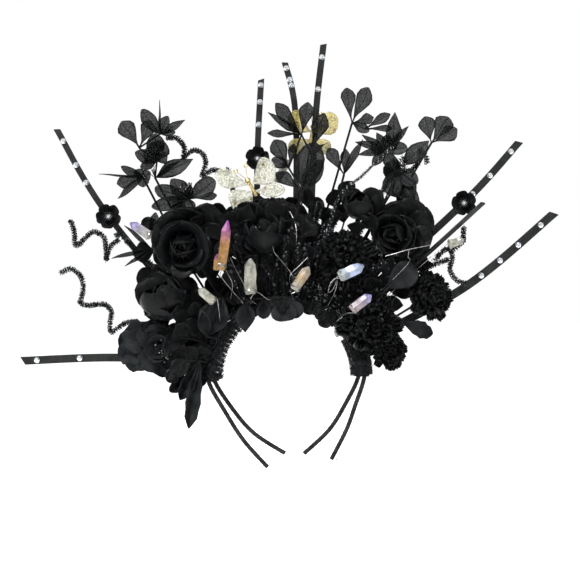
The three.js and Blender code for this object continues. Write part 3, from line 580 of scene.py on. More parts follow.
def thicken(piece, wall):
    bpy.ops.object.select_all(action="DESELECT")
    piece.select_set(True)
    bpy.context.view_layer.objects.active = piece
    cloth = piece.modifiers.new("cloth", "SOLIDIFY")
    cloth.thickness = wall
    cloth.offset = 0
    bpy.ops.object.modifier_apply(modifier="cloth")


satin = finish("black_satin", (0.0025, 0.003, 0.0033), 0.4, specular=0.2)
mottle(satin, 0.012, (0.0012, 0.0015, 0.0018), (0.0035, 0.004, 0.0046))
grain(satin, 0.06, 0.00008, kind="X")
satin_shader = satin.node_tree.nodes["Principled BSDF"]
satin_shader.inputs["Sheen Weight"].default_value = 0.06
satin_shader.inputs["Sheen Roughness"].default_value = 0.35
satin_shader.inputs["Sheen Tint"].default_value = (0.75, 0.8, 0.85, 1)
cotton = finish("black_cotton", (0.012, 0.014, 0.016), 0.7, specular=0.12)
mottle(cotton, 0.01, (0.011, 0.0124, 0.0134), (0.027, 0.0297, 0.0318))
grain(cotton, 0.16, 0.0002, kind="X")


# The rosettes: five square ribbon loops with four small ones inside, glued to a strip, with a clear
# stone in the middle.
ROSETTE_RADIUS = 0.0112
SATIN_WALL = 0.0006
ROSETTES = [
    {"name": "rosette_left_low", "ray": "ray_left_low", "share": 0.35, "size": 0.95, "turn": 12},
    {"name": "rosette_left_high", "ray": "ray_left_high", "share": 0.635, "size": 1.05, "turn": 40},
    {"name": "rosette_top", "ray": "ray_top_left", "share": 0.65, "size": 1, "turn": 5},
    {"name": "rosette_right", "ray": "ray_right_high", "share": 0.665, "size": 1.05, "turn": 25},
]


def round_of(pattern, centre, facing, count, foot, length, width, lean, turn, stray=0.0):
    """Copies round an axis, leaning out from it, hollow side in, each straying a little from the rest."""
    side = Vector((0, 0, 1)).cross(facing).normalized()
    up = facing.cross(side)
    meshes = []
    for petal in range(count):
        angle = radians(turn) + 2 * pi * (petal + chance.uniform(-0.25, 0.25) * stray) / count
        tip = radians(lean + 14 * chance.uniform(-1, 1) * stray)
        grown = 1 + 0.16 * chance.uniform(-1, 1) * stray
        out = side * cos(angle) + up * sin(angle)
        heading = facing * cos(tip) + out * sin(tip)
        hollow = facing * sin(tip) - out * cos(tip)
        meshes.append(lay(pattern, centre + out * foot, heading, hollow, width * grown, length * grown))
    return meshes


for rosette in ROSETTES:
    ray = next(ray for ray in RAYS if ray["name"] == rosette["ray"])
    line = ray_line(ray)
    at = round(rosette["share"] * RAY_STEPS)
    along, flat = ray_faces(ray, line)[at]
    radius = rosette["size"] * ROSETTE_RADIUS
    back = line[at] + flat * (RAY_THICKNESS / 2 + 0.0006)
    loops = []
    for count, foot, length, width, lean, lift in ((5, 0.16, 0.92, 0.95, 78, 0.02),
                                                   (4, 0.08, 0.55, 0.6, 46, 0.12)):
        loops += round_of(PETAL_SQUARE, back + flat * lift * radius, flat, count, foot * radius,
                          length * radius, width * radius, lean, rosette["turn"] + lean)
    petals = gather("petals_" + rosette["name"], loops)
    petals.data.materials.append(satin)
    crumple(petals, 0.0006, 0.006)
    thicken(petals, SATIN_WALL)
    gem = set_on(STONE, back + flat * 0.3 * radius, flat, STONE_DIAMETER)
    rose = gather("ribbon_" + rosette["name"], [keep_pattern(petals), gem])
    dress(rose, "satin", rosette["name"])


# Satin roses, buds and a peony: rounds of petals pressed over a ball, wide open outside and wrapped
# tight in the middle, on wired stems bound into the bundle.
ROSE_RADIUS = 0.030
STEM_THICKNESS = 0.0022
STEM_STEP = 0.006
FLOWER_ROUNDS = {
    "hollow": [
        (PETAL_OPEN, 5, 0.1, 0.78, 1.1, 60), (PETAL_WRAPPED, 4, 0.16, 0.78, 0.85, 38),
        (PETAL_WRAPPED, 4, 0.1, 0.64, 0.7, 24),
        (PETAL_WRAPPED, 3, 0.05, 0.5, 0.5, 10),
    ],
    "ball": [
        (PETAL_OPEN, 5, 0.1, 0.8, 1.1, 70), (PETAL_BALL, 5, 0.04, 1.3, 1.15, 78),
        (PETAL_BALL, 4, 0.03, 1.2, 1.05, 70),
        (PETAL_BALL, 3, 0.02, 1.05, 0.8, 60),
    ],
    "bud": [
        (LEAF_SPIKE, 5, 0.1, 1.0, 0.3, 96), (PETAL_WRAPPED, 4, 0.1, 1.2, 1.3, 74),
        (PETAL_BALL, 4, 0.05, 2.0, 1.6, 80),
        (PETAL_BALL, 4, 0.03, 1.9, 1.4, 74), (PETAL_BALL, 3, 0.02, 1.75, 1.05, 66),
    ],
    "peony": [(PETAL_OPEN, 5, 0.06, 0.62, 0.7, 50), (PETAL_WRAPPED, 4, 0.05, 0.45, 0.5, 24)],
}
FLOWERS = [
    {"name": "rose_left", "kind": "hollow", "at": -37, "out": 0.335, "deep": -0.22, "size": 1.14,
     "nod": (-125, 0.35),
     "turn": 10, "seat": -44, "petals": [
         (-60, 0.98, 1.3, 12), (-22, 0.98, 1.3, 16), (18, 1.0, 1.2, 10), (52, 1.25, 1.2, 4),
         (88, 1.15, 1.0, 14),
         (125, 0.78, 1.0, 24), (168, 0.68, 1.0, 24), (-142, 0.7, 1.0, 18), (-98, 0.84, 1.0, 10),
         (38, 0.8, 0.7, 44),
         (66, 0.76, 0.6, 50), (-10, 0.72, 0.8, 40), (-80, 0.66, 0.9, 40)]},
    {"name": "rose_centre", "kind": "bud", "at": -8.4, "out": 0.2, "deep": -0.22, "size": 0.64,
     "nod": (-5, 1.6),
     "turn": 88, "seat": -9, "petals": [
         (-37, 2.45, 1.9, 4), (-18, 2.3, 1.6, -2), (2, 2.35, 1.3, 4), (14, 2.4, 1.2, -3), (26, 2.4, 1.4, 3),
         (48, 1.8, 1.6, 8), (-60, 1.8, 1.7, 10), (-84, 1.9, 0.9, 26), (-76, 1.5, 0.8, 34),
         (84, 1.3, 1.3, 16),
         (150, 0.9, 1.5, 10), (-150, 0.9, 1.5, 10)]},
    {"name": "rose_right", "kind": "hollow", "at": 38.2, "out": 0.4, "deep": -0.2, "size": 0.98,
     "nod": (-110, 0.4),
     "turn": 0, "seat": 38, "petals": [
         (8, 1.0, 1.3, 8), (46, 1.12, 1.3, 4), (86, 1.02, 1.2, 8), (122, 1.05, 1.1, 10),
         (158, 1.0, 1.2, 16),
         (-160, 0.9, 1.1, 26), (-118, 0.98, 1.0, 24), (-72, 0.95, 1.1, 18), (-34, 0.95, 1.2, 12),
         (60, 0.76, 0.9, 40),
         (110, 0.76, 0.9, 40)]},
    {"name": "rosebud_left", "kind": "bud", "at": -63.4, "out": 0.205, "deep": -0.22, "size": 0.72,
     "nod": (-16, 2.2),
     "turn": 0, "seat": -60, "petals": [(-30, 1.95, 1.7, -2), (20, 1.8, 1.5, -4), (-120, 1.3, 0.7, 16),
                                        (-78, 1.2, 0.5, 20)]},
    {"name": "rosebud_right", "kind": "bud", "at": 25.5, "out": 0.367, "deep": -0.22, "size": 0.48,
     "nod": (-5, 1.6),
     "turn": 20, "seat": 24, "petals": [(30, 2.1, 1.5, 0), (-24, 2.0, 1.4, -2)]},
    {"name": "blossom_left", "kind": "peony", "at": -77.5, "out": 0.19, "deep": -0.26, "size": 0.92,
     "nod": (-80, 0.3),
     "turn": 0, "seat": -76, "petals": [
         (-88, 1.5, 1.2, 2), (-66, 1.4, 1.1, 8), (-108, 1.35, 1.0, 4), (-42, 1.05, 1.0, 12),
         (-132, 0.95, 0.8, 8),
         (178, 0.95, 0.75, 6), (150, 0.8, 0.7, 16), (-14, 0.9, 0.9, 20), (28, 0.7, 0.9, 26),
         (96, 0.7, 0.9, 24)]},
]
stem_tape = finish("dark_stem_tape", (0.008, 0.009, 0.008), 0.6, specular=0.18)
mottle(stem_tape, 0.003, (0.003, 0.004, 0.003), (0.014, 0.015, 0.014))
grain(stem_tape, 0.0005, 0.0001)


def stem(points, thickness):
    rod = wire("stem", flow(points, STEM_STEP), thickness)
    rod.data.materials.append(stem_tape)
    return keep_pattern(rod)


pale_tips = finish("pale_stamen_tips", (0.2, 0.2, 0.18), 0.6)
mottle(pale_tips, 0.002, (0.05, 0.05, 0.045), (0.3, 0.29, 0.27))
bpy.ops.object.select_all(action="DESELECT")
bpy.ops.mesh.primitive_cone_add(vertices=3, radius1=0.02, radius2=0.015, depth=1, location=(0, 0, 0.5))
filament = settle()
filament.data.materials.append(stem_tape)
bpy.ops.mesh.primitive_ico_sphere_add(subdivisions=1, radius=0.05, location=(0, 0, 1))
settle().data.materials.append(pale_tips)
filament.select_set(True)
bpy.context.view_layer.objects.active = filament
bpy.ops.object.join()
STAMEN = keep_pattern(filament)


def stamens(centre, facing, count, length, spread):
    """Fine filaments with pale tips, fanning out from a flower's heart."""
    fan = []
    for i in range(count):
        out = facing + Vector([chance.uniform(-spread, spread) for axis in range(3)])
        fan.append(set_on(STAMEN, centre, out.normalized(), length * chance.uniform(0.65, 1)))
    return fan


def flower(name, rounds, at, out, deep, radius, nod, turn, seated, wall, loose=(), loose_cut=PETAL_FLAT,
           cloth=satin):
    centre = spot(at, out, deep)
    facing = (FRONT + outward(nod[0]) * nod[1]).normalized()
    petals = []
    for petal_turn, reach, wide, lean in loose:
        heading = lean_forward(petal_turn, lean)
        petals.append(lay(loose_cut, centre - FRONT * 0.2 * radius, heading, FRONT, wide * radius,
                          reach * radius))
    for i, (pattern, count, foot, length, width, lean) in enumerate(rounds):
        petals += round_of(pattern, centre, facing, count, foot * radius, length * radius, width * radius,
                           lean, turn + 37 * i, stray=1.0)
    head = gather("head_" + name, petals)
    head.data.materials.append(cloth)
    crumple(head, radius * 0.07, radius * 0.45)
    crumple(head, radius * 0.02, radius * 0.15)
    thicken(head, wall)
    foot = seat(seated, -0.35)
    parts = [keep_pattern(head), stem([foot, centre + facing * 0.001], STEM_THICKNESS)]
    if name == "blossom_left":
        parts += stamens(centre, facing + outward(110) * 0.6, 26, radius * 0.6, 0.6)
    piece = gather("satin_" + name, parts)
    dress(piece, "satin", name)


for row in FLOWERS:
    scalloped = row["kind"] == "peony"
    flower(row["name"], FLOWER_ROUNDS[row["kind"]], row["at"], row["out"], row["deep"],
           row["size"] * ROSE_RADIUS, row["nod"], row["turn"], row["seat"], SATIN_WALL, row["petals"],
           PETAL_SCALLOP if scalloped else PETAL_FLAT, cotton if scalloped else satin)


# Carnations: packed rounds of satin with a zigzag pinked edge, ruffled by hand.
CARNATION_RADIUS = 0.024
CARNATION_WALL = 0.0004
CARNATION_ROUNDS = [
    (PETAL_FRILL, 12, 0.1, 1.04, 0.56, 88), (PETAL_FRILL, 13, 0.1, 0.98, 0.52, 72),
    (PETAL_FRILL, 13, 0.1, 0.92, 0.48, 56),
    (PETAL_FRILL, 12, 0.1, 0.88, 0.46, 42), (PETAL_FRILL, 10, 0.1, 0.84, 0.42, 28),
    (PETAL_FRILL, 6, 0.06, 0.8, 0.38, 14),
]
CARNATIONS = [
    ("carnation_mid", 27, 0.2, -0.26, 0.98, (27, 0.15), 27, []),
    ("carnation_low", 58.5, 0.078, -0.3, 0.96, (110, 0.3), 58, []),
    ("carnation_under", 76, 0.11, -0.16, 0.56, (120, 0.3), 77,
     [(156, 1.35, 1.0, 4), (134, 1.1, 0.9, 8), (172, 1.1, 0.8, 8)]),
    ("carnation_side", 61, 0.318, -0.16, 0.78, (70, 0.6), 64, []),
]
for name, at, out, deep, size, nod, seated, loose in CARNATIONS:
    flower(name, CARNATION_ROUNDS, at, out, deep, size * CARNATION_RADIUS, nod, 0, seated, CARNATION_WALL,
           loose, PETAL_FRILL)


# Leaf sprays and blooms of thin see-through organza, wired one by one to a taped stem. Each leaf is its
# turn from straight up, reach, width, forward lean and cut.
LEAF_LENGTH = 0.029
LEAF_WIDTH = 0.018
LEAF_WALL = 0.0004
LEAF_RIB = 0.24
CUTS = {"round": LEAF_ROUND, "pointed": LEAF_POINTED, "petal": LEAF_PETAL, "spike": LEAF_SPIKE,
        "flat": PETAL_FLAT,
        "ribbed": LEAF_RIBBED, "lobed": LEAF_LOBED}


def sheer_cover(cloth, low, high):
    """The weave lets light through in the middle of a leaf, and less at its rim, midrib and foot."""
    shader = cloth.node_tree.nodes["Principled BSDF"]
    where = node(cloth, "ShaderNodeTexCoord")
    place = node(cloth, "ShaderNodeSeparateXYZ")
    threads = node(cloth, "ShaderNodeTexNoise", Scale=900.0, Detail=3.0)
    link(cloth, where, "UV", place, "Vector")
    link(cloth, where, "Object", threads, "Vector")
    off = node(cloth, "ShaderNodeMath", operation="SUBTRACT")
    off.inputs[1].default_value = 0.5
    link(cloth, place, "X", off, 0)
    across = node(cloth, "ShaderNodeMath", operation="ABSOLUTE")
    link(cloth, off, 0, across, 0)
    rim = node(cloth, "ShaderNodeMapRange")
    rib = node(cloth, "ShaderNodeMapRange")
    foot = node(cloth, "ShaderNodeMapRange")
    for shade, start, end, most in ((rim, 0.36, 0.5, 0.22), (rib, 0.06, 0.0, 0.16), (foot, 0.5, 0.0, 0.2)):
        shade.inputs["From Min"].default_value = start
        shade.inputs["From Max"].default_value = end
        shade.inputs["To Max"].default_value = most
    link(cloth, across, 0, rim, "Value")
    link(cloth, across, 0, rib, "Value")
    link(cloth, place, "Y", foot, "Value")
    cover = node(cloth, "ShaderNodeMapRange")
    cover.inputs["From Min"].default_value = 0.32
    cover.inputs["From Max"].default_value = 0.68
    cover.inputs["To Min"].default_value = low
    cover.inputs["To Max"].default_value = high
    link(cloth, threads, "Fac", cover, "Value")
    total = cover
    for shade in (rim, rib, foot):
        added = node(cloth, "ShaderNodeMath", operation="ADD", use_clamp=True)
        link(cloth, total, 0, added, 0)
        link(cloth, shade, 0, added, 1)
        total = added
    link(cloth, total, 0, shader, "Alpha")


organza = finish("dark_organza", (0.008, 0.009, 0.009), 0.5, specular=0.15)
mottle(organza, 0.004, (0.004, 0.005, 0.005), (0.014, 0.015, 0.016))
sheer_cover(organza, 0.6, 0.86)
SPRAYS = [
    ("bloom_high_left", "organza", -42, 0.15, [
        (-33.7, 0.607, 0.04, [(63, 1.3, 0.85, 0, "pointed"), (57, 1.2, 0.3, 30, "pointed")]),
        (-31.3, 0.655, 0.04, [(-30, 0.75, 1, 40, "petal"), (12, 0.85, 1.1, 30, "petal"),
                              (-68, 0.8, 0.7, 24, "petal"),
                              (54, 0.6, 0.8, 40, "petal"), (-4, 0.9, 0.9, 10, "petal"),
                              (-110, 0.6, 0.5, 20, "petal")]),
        (-33, 0.734, 0.03, [(-32, 0.98, 0.95, 0, "round"), (25, 0.9, 0.75, 0, "round")]),
        (-27.7, 0.739, 0.02, [(-38, 0.95, 0.75, 10, "petal"), (24, 0.68, 0.6, 20, "petal"),
                              (62, 0.88, 0.42, 0, "pointed"),
                              (84, 0.5, 0.35, 10, "petal"), (0, 1.02, 0.12, 10, "spike")]),
    ]),
    ("sprig_left_mid", "organza", -50, 0.15, [
        (-36, 0.635, 0.04, [(-64, 0.82, 0.42, 20, "petal"), (-86, 1.35, 0.13, 0, "spike"),
                            (-106, 0.85, 0.72, 14, "round"),
                            (-130, 1.0, 0.36, 0, "pointed"), (-50, 0.5, 0.6, 40, "petal"),
                            (170, 0.45, 0.6, 40, "petal"),
                            (60, 0.4, 0.6, 40, "petal")]),
    ]),
    ("bloom_left", "organza", -33, -0.12, [
        (-28.9, 0.472, -0.04, [(-74, 1.15, 0.85, 10, "petal"), (-43, 0.92, 0.85, 20, "petal"),
                               (4, 0.6, 0.4, 40, "petal"),
                               (54, 0.98, 0.95, -6, "petal"), (82, 0.85, 0.4, -6, "round"),
                               (-103, 1.2, 0.68, 0, "petal"),
                               (178, 0.5, 0.7, 30, "petal")]),
    ]),
    ("sprig_left_low", "organza", -53, -0.12, [
        (-46.9, 0.41, -0.02, [(-50, 1.08, 0.22, 0, "pointed"), (-103, 1.28, 0.22, 0, "pointed"),
                              (-124, 1, 0.2, 10, "pointed"), (6, 1.1, 0.6, 0, "round")]),
    ]),
    ("sprig_top", "organza", -2, -0.12, [
        (4.8, 0.411, -0.22, [(-55, 1, 0.7, 10, "round"), (16, 1.55, 1.4, 4, "petal"),
                             (34, 1.2, 0.9, 16, "petal")]),
        (0.6, 0.495, -0.05, [(-28, 1.0, 0.9, 10, "round"), (12, 0.85, 0.5, 20, "round"),
                             (-62, 0.6, 0.6, 10, "petal")]),
        (3.6, 0.62, -0.05, [(-40, 1.25, 0.75, 0, "round"), (-58, 1.35, 0.4, 20, "pointed"),
                            (-88, 1.1, 0.4, 10, "round"), (12, 1, 0.8, 0, "round")]),
        (6.2, 0.556, -0.05, [(19, 1.35, 0.85, 10, "round"), (58, 0.5, 0.3, 0, "spike")]),
    ]),
    ("sprig_right_tall", "organza", 12, 0.15, [
        (14.6, 0.695, 0.03, [(-9, 1.1, 0.75, 0, "round"), (26, 1.2, 0.85, 0, "round"),
                             (76, 0.85, 0.6, 30, "round"),
                            (120, 0.6, 0.5, 10, "petal")]),
        (17.7, 0.687, 0.03, [(60, 0.87, 0.5, 0, "round"), (90, 0.85, 0.35, 0, "round")]),
    ]),
    ("sprig_right_dark", "organza", 19, -0.2, [
        (16, 0.5, -0.12, [(-32, 0.95, 0.7, 0, "round"), (4, 0.85, 0.5, 20, "round"),
                          (28, 1.25, 0.4, 10, "pointed")]),
    ]),
    ("bloom_right", "organza", 29, 0, [
        (29.9, 0.58, -0.03, [(150, 1.1, 0.5, 10, "petal"), (-160, 0.8, 0.5, 20, "petal")]),
        (27.9, 0.588, -0.06, [(152, 1.05, 1.2, 4, "petal"), (-168, 0.85, 1, 10, "petal"),
                              (122, 0.85, 0.9, 8, "petal")]),
        (23.7, 0.64, -0.03, [(-75, 1, 0.42, 10, "pointed"), (-100, 0.85, 0.34, 0, "pointed"),
                             (-58, 0.95, 0.34, 20, "pointed"),
                             (-28, 0.7, 0.5, 30, "pointed"), (12, 0.6, 0.6, 30, "petal"),
                             (46, 1, 0.36, 0, "pointed"),
                             (-140, 0.7, 0.5, 20, "petal"), (160, 0.75, 0.7, 20, "petal"),
                             (84, 0.7, 0.7, 10, "petal"),
                             (-84, 0.6, 0.7, 30, "petal")]),
        (25.8, 0.635, -0.02, [(2, 1.3, 0.8, 0, "pointed")]),
        (28.9, 0.614, 0, [(47, 1.12, 0.95, 0, "pointed")]),
    ]),
    ("sprig_far_right", "organza", 35, 0.15, [
        (32, 0.745, 0.03, [(-15, 0.82, 0.85, 0, "round"), (33, 0.95, 1.05, 0, "round"),
                           (62, 0.9, 0.85, 10, "round")]),
    ]),
    ("leaf_left", "cotton", -62, -0.7, [
        (-63.9, 0.051, -0.36, [(22, 1.3, 1.4, 8, "ribbed"), (-8, 0.95, 0.7, 24, "ribbed")]),
    ]),
    ("petals_low", "cotton", -7, -0.75, [
        (-1.1, 0.01, -0.34, [(-178, 0.74, 1.3, 2, "flat"), (141, 0.74, 0.9, 2, "flat")]),
        (-17.6, 0.021, -0.34, [(171, 0.6, 0.75, 4, "flat")]),
        (-28.4, 0.038, -0.34, [(-179, 0.98, 1.0, 0, "pointed")]),
    ]),
    ("leaf_right", "cotton", 71, -0.2, [(66, 0.2, -0.12, [(112, 0.95, 0.8, 0, "lobed")])]),
    ("petal_right", "cotton", 55, -0.6, [(49.2, 0.212, -0.32, [(52, 1.1, 1.3, 0, "flat")])]),
    ("leaves_long", "cotton", -81, -0.7, [
        (-80.5, 0.045, -0.34, [(-152, 1.3, 0.75, 0, "lobed"), (-171, 2.1, 0.75, 4, "lobed")]),
    ]),
]


STAMENS = {"bloom_left": (-12, 40, 0.017), "bloom_high_left": (-20, 16, 0.012),
           "bloom_right": (20, 20, 0.012)}
for name, cloth, seated, across, joints in SPRAYS:
    places = [spot(at, out, deep) for at, out, deep, leaves in joints]
    start = seat(seated, across)
    rise = start.lerp(places[0], 0.4) + outward(seated) * 0.06 * SPRAY_REACH * joints[0][1]
    meshes = []
    stems = [stem([start, rise, places[0]], STEM_THICKNESS)]
    for place, (at, out, deep, leaves) in zip(places, joints):
        for turn, reach, wide, lean, cut in leaves:
            heading = lean_forward(turn, lean)
            rib = heading.normalized() * reach * LEAF_LENGTH * LEAF_RIB
            stems.append(stem([place - rib * 0.1, place + rib], STEM_THICKNESS * 0.55))
            meshes.append(lay(CUTS[cut], place + heading.normalized() * 0.0008, heading, FRONT,
                              wide * LEAF_WIDTH, reach * LEAF_LENGTH))
    leafage = gather("cloth_" + name, meshes)
    leafage.data.materials.append(organza if cloth == "organza" else cotton)
    crumple(leafage, 0.0012, 0.012)
    thicken(leafage, LEAF_WALL)
    if name in STAMENS:
        turn, count, length = STAMENS[name]
        stems += stamens(places[0], lean_forward(turn, 30).normalized(), count, length, 0.45)
    stems += [stem([a, b], STEM_THICKNESS * 0.8) for a, b in zip(places, places[1:])]
    piece = gather(cloth + "_" + name, [keep_pattern(leafage), *stems])
    dress(piece, "organza" if cloth == "organza" else "satin", name)


# Filler sprigs: short side stems of small black satin leaves and loose petals, bound in between the
# flowers so that the garland is dense and no bare stem shows.
FILLER = [
    (-90, 0.09, -0.3), (-82, 0.1, -0.45), (-74, 0.13, 0.0), (-70, 0.14, -0.4),
    (-66, 0.14, 0.1), (-60, 0.2, -0.5),
    (-54, 0.33, 0.08), (-53, 0.2, -0.2), (-47, 0.4, 0.05), (-40, 0.44, 0.05), (-36, 0.38, 0.1),
    (-31, 0.41, 0.0), (-27, 0.34, -0.1), (-24, 0.28, -0.4), (-20, 0.34, 0.08), (-16, 0.3, -0.3),
    (-12, 0.34, 0.1),
    (-7, 0.32, 0.05), (-2, 0.28, -0.35), (2, 0.32, 0.05), (6, 0.26, -0.4), (9, 0.34, 0.1), (13, 0.32, -0.1),
    (17, 0.38, 0.0), (20, 0.42, 0.05), (26, 0.38, -0.3), (29, 0.54, 0.05), (33, 0.48, -0.1),
    (36, 0.46, 0.1), (41, 0.42, 0.0), (44, 0.34, -0.3), (47, 0.36, 0.05), (50, 0.26, -0.1),
    (-36, 0.07, 0.0), (-30, 0.09, 0.1), (-22, 0.13, 0.2), (-15, 0.1, 0.0), (-8, 0.13, 0.2), (-1, 0.1, 0.0),
    (6, 0.14, 0.2), (13, 0.1, 0.0), (20, 0.14, 0.2),
    (27, 0.1, 0.0), (33, 0.14, 0.2), (38, 0.12, -0.1), (42, 0.15, 0.1), (47, 0.1, 0.0),
]
FILLER_LEAVES = 7
FILLER_WALL = 0.0005
leaf_meshes = []
filler_stems = []
for at, out, deep in FILLER:
    line = flow([seat(at, -0.2 if deep < 0 else 0.5), spot(at + 1.5, out * 0.5, deep * 0.7),
                 spot(at, out, deep)], 0.008)
    filler_stems.append(stem(line, STEM_THICKNESS * 0.7))
    for leaf in range(FILLER_LEAVES):
        share = 0.2 + 0.8 * leaf / (FILLER_LEAVES - 1)
        base = line[round(share * (len(line) - 1))]
        turn = at + (1 if leaf % 2 else -1) * chance.uniform(25, 95) * (1.1 - 0.5 * share)
        cut = chance.choice((LEAF_ROUND, LEAF_PETAL, LEAF_POINTED, LEAF_PETAL))
        leaf_meshes.append(lay(cut, base, lean_forward(turn, chance.uniform(-35, 40 if out < 0.4 else 5)),
                               FRONT,
                               chance.uniform(0.7, 1.05) * LEAF_WIDTH,
                               chance.uniform(0.55, 0.85) * LEAF_LENGTH))
filler_cloth = gather("filler_cloth", leaf_meshes)
filler_cloth.data.materials.append(satin)
crumple(filler_cloth, 0.0022, 0.014)
thicken(filler_cloth, FILLER_WALL)
filler = gather("filler_sprigs", [keep_pattern(filler_cloth), *filler_stems])
dress(filler, "satin")


# Collar leaves: small satin leaves glued over the front of the bundle, so that the tape is hidden.
COLLAR_COUNT = 18
COLLAR_START = -28
COLLAR_GAP = 4
collar = []
for step in range(COLLAR_COUNT):
    at = COLLAR_START + COLLAR_GAP * step
    foot = spot(at, chance.uniform(-0.005, 0.02), chance.uniform(-0.36, -0.28))
    turn = at + 180 + chance.uniform(-55, 55)
    collar.append(lay(chance.choice((LEAF_PETAL, LEAF_POINTED)), foot,
                      lean_forward(turn, chance.uniform(-4, 8)), FRONT,
                      chance.uniform(0.5, 0.8) * LEAF_WIDTH, chance.uniform(0.36, 0.5) * LEAF_LENGTH))
collar_leaves = gather("collar_leaves", collar)
collar_leaves.data.materials.append(satin)
crumple(collar_leaves, 0.0016, 0.008)
thicken(collar_leaves, FILLER_WALL)
dress(collar_leaves, "satin")


# Two butterflies of sheer cloth dusted with glitter, two pairs of wings on a small body with feelers,
# each on its own wire.
BUTTERFLIES = [
    {"name": "butterfly_white", "slot": "cream", "at": -10.4, "out": 0.43, "deep": -0.1,
     "seat": (-14, -0.35),
     "wings": [(-80, 1.15, 0.6, FORE_WING), (58, 0.98, 0.85, FORE_WING_FAR), (88, 0.98, 0.45, HIND_WING),
               (-128, 0.85, 0.9, HIND_WING)], "heading": -30},
    {"name": "butterfly_gold", "slot": "gold", "at": 6, "out": 0.622, "deep": 0.1, "seat": (1, 0.15),
     "wings": [(-66, 0.9, 0.7, FORE_WING), (72, 0.9, 0.7, FORE_WING_FAR), (122, 0.72, 0.5, HIND_WING),
               (-116, 0.78, 0.5, HIND_WING)], "heading": 10},
]
WIRE_THICKNESS = 0.0015
FEELER_THICKNESS = 0.0006
BODY_THICKNESS = 0.003


def sheer_wing(name, pale, spots, cover):
    """Sheer cloth with scattered spots of glitter."""
    wing = finish(name, pale, 0.4)
    shader = wing.node_tree.nodes["Principled BSDF"]
    where = node(wing, "ShaderNodeTexCoord")
    cells = node(wing, "ShaderNodeTexVoronoi", Scale=125.0)
    shades = node(wing, "ShaderNodeValToRGB")
    shades.color_ramp.elements[0].position = 0.14
    shades.color_ramp.elements[0].color = (*spots, 1)
    shades.color_ramp.elements[1].position = 0.24
    shades.color_ramp.elements[1].color = (*pale, 1)
    dust = node(wing, "ShaderNodeTexNoise", Scale=1500.0, Detail=2.0)
    bump = node(wing, "ShaderNodeBump", Strength=1.0, Distance=0.0002)
    link(wing, where, "Object", cells, "Vector")
    link(wing, where, "Object", dust, "Vector")
    link(wing, cells, "Distance", shades, "Fac")
    net = node(wing, "ShaderNodeTexNoise", Scale=700.0, Detail=3.0)
    threads = node(wing, "ShaderNodeMapRange", **{"From Min": 0.4, "From Max": 0.6, "To Min": 0.5,
                                                  "To Max": 1.1})
    netted = node(wing, "ShaderNodeVectorMath", operation="MULTIPLY")
    link(wing, where, "Object", net, "Vector")
    link(wing, net, "Fac", threads, "Value")
    link(wing, shades, "Color", netted, 0)
    link(wing, threads, "Result", netted, 1)
    link(wing, netted, "Vector", shader, "Base Color")
    link(wing, dust, "Fac", bump, "Height")
    link(wing, bump, "Normal", shader, "Normal")
    shader.inputs["Alpha"].default_value = cover
    return wing


WING_CLOTHS = {
    "cream": sheer_wing("cream_wing", (0.6, 0.6, 0.5), (0.34, 0.24, 0.06), 0.55),
    "gold": sheer_wing("gold_wing", (0.56, 0.48, 0.17), (0.28, 0.16, 0.02), 0.62),
}
gilt = finish("gilt_body", (0.7, 0.56, 0.26), 0.35, metallic=0.8)
mottle(gilt, 0.002, (0.36, 0.26, 0.1), (0.8, 0.68, 0.36))
for row in BUTTERFLIES:
    centre = spot(row["at"], row["out"], row["deep"])
    along = outward(row["heading"])
    length = 0.55 * LEAF_LENGTH
    wings = []
    for turn, reach, wide, cut in row["wings"]:
        heading = lean_forward(turn, 8).normalized()
        near = 0.2 * length * (1 if heading.dot(along) > 0 else -1)
        wings.append(lay(cut, centre + along * near, heading, FRONT, wide * LEAF_LENGTH,
                         reach * LEAF_LENGTH))
    cloth = gather("wings_" + row["name"], wings)
    cloth.data.materials.append(WING_CLOTHS[row["slot"]])
    crumple(cloth, 0.0008, 0.01)
    thicken(cloth, 0.0004)
    head = centre + along * length / 2
    tail = centre - along * length / 2
    body = wire("body", flow([tail, centre, head], 0.003), BODY_THICKNESS, roundness=2)
    body.data.materials.append(gilt)
    parts = [keep_pattern(cloth), keep_pattern(body)]
    for turn in (-22, 22):
        feeler = wire("feeler", flow([head, head + outward(row["heading"] + turn) * length * 0.8], 0.004),
                      FEELER_THICKNESS)
        feeler.data.materials.append(gilt)
        parts.append(keep_pattern(feeler))
        bpy.ops.object.select_all(action="DESELECT")
        bpy.ops.mesh.primitive_torus_add(major_radius=0.0016, minor_radius=0.0005, major_segments=14,
                                         minor_segments=6,
                                         rotation=(radians(90), 0, 0),
                                         location=head + outward(row["heading"] + turn) * length * 0.85)
        feeler_end = settle()
        bpy.ops.object.shade_smooth()
        feeler_end.data.materials.append(gilt)
        parts.append(keep_pattern(feeler_end))
    bpy.ops.mesh.primitive_uv_sphere_add(segments=12, ring_count=8, radius=0.0026, location=head)
    ball = settle()
    bpy.ops.object.shade_smooth()
    ball.data.materials.append(gilt)
    parts.append(keep_pattern(ball))
    parts.append(stem([seat(*row["seat"]), centre], WIRE_THICKNESS))
    piece = gather("sheer_" + row["name"], parts)
    dress(piece, row["slot"], row["name"])


# Raw quartz points, some tinted: six-sided, rough at the foot, with a cut tip, held by silver wire that
# is twisted round the foot and led back to the bundle.
CRYSTAL_THICKNESS = 0.009
HELD_WIRE = 0.0008
TWIST_STEPS = 14
silver = finish("silver_wire", (0.4, 0.4, 0.39), 0.35, metallic=1.0)
mottle(silver, 0.002, (0.2, 0.2, 0.19), (0.55, 0.55, 0.53))


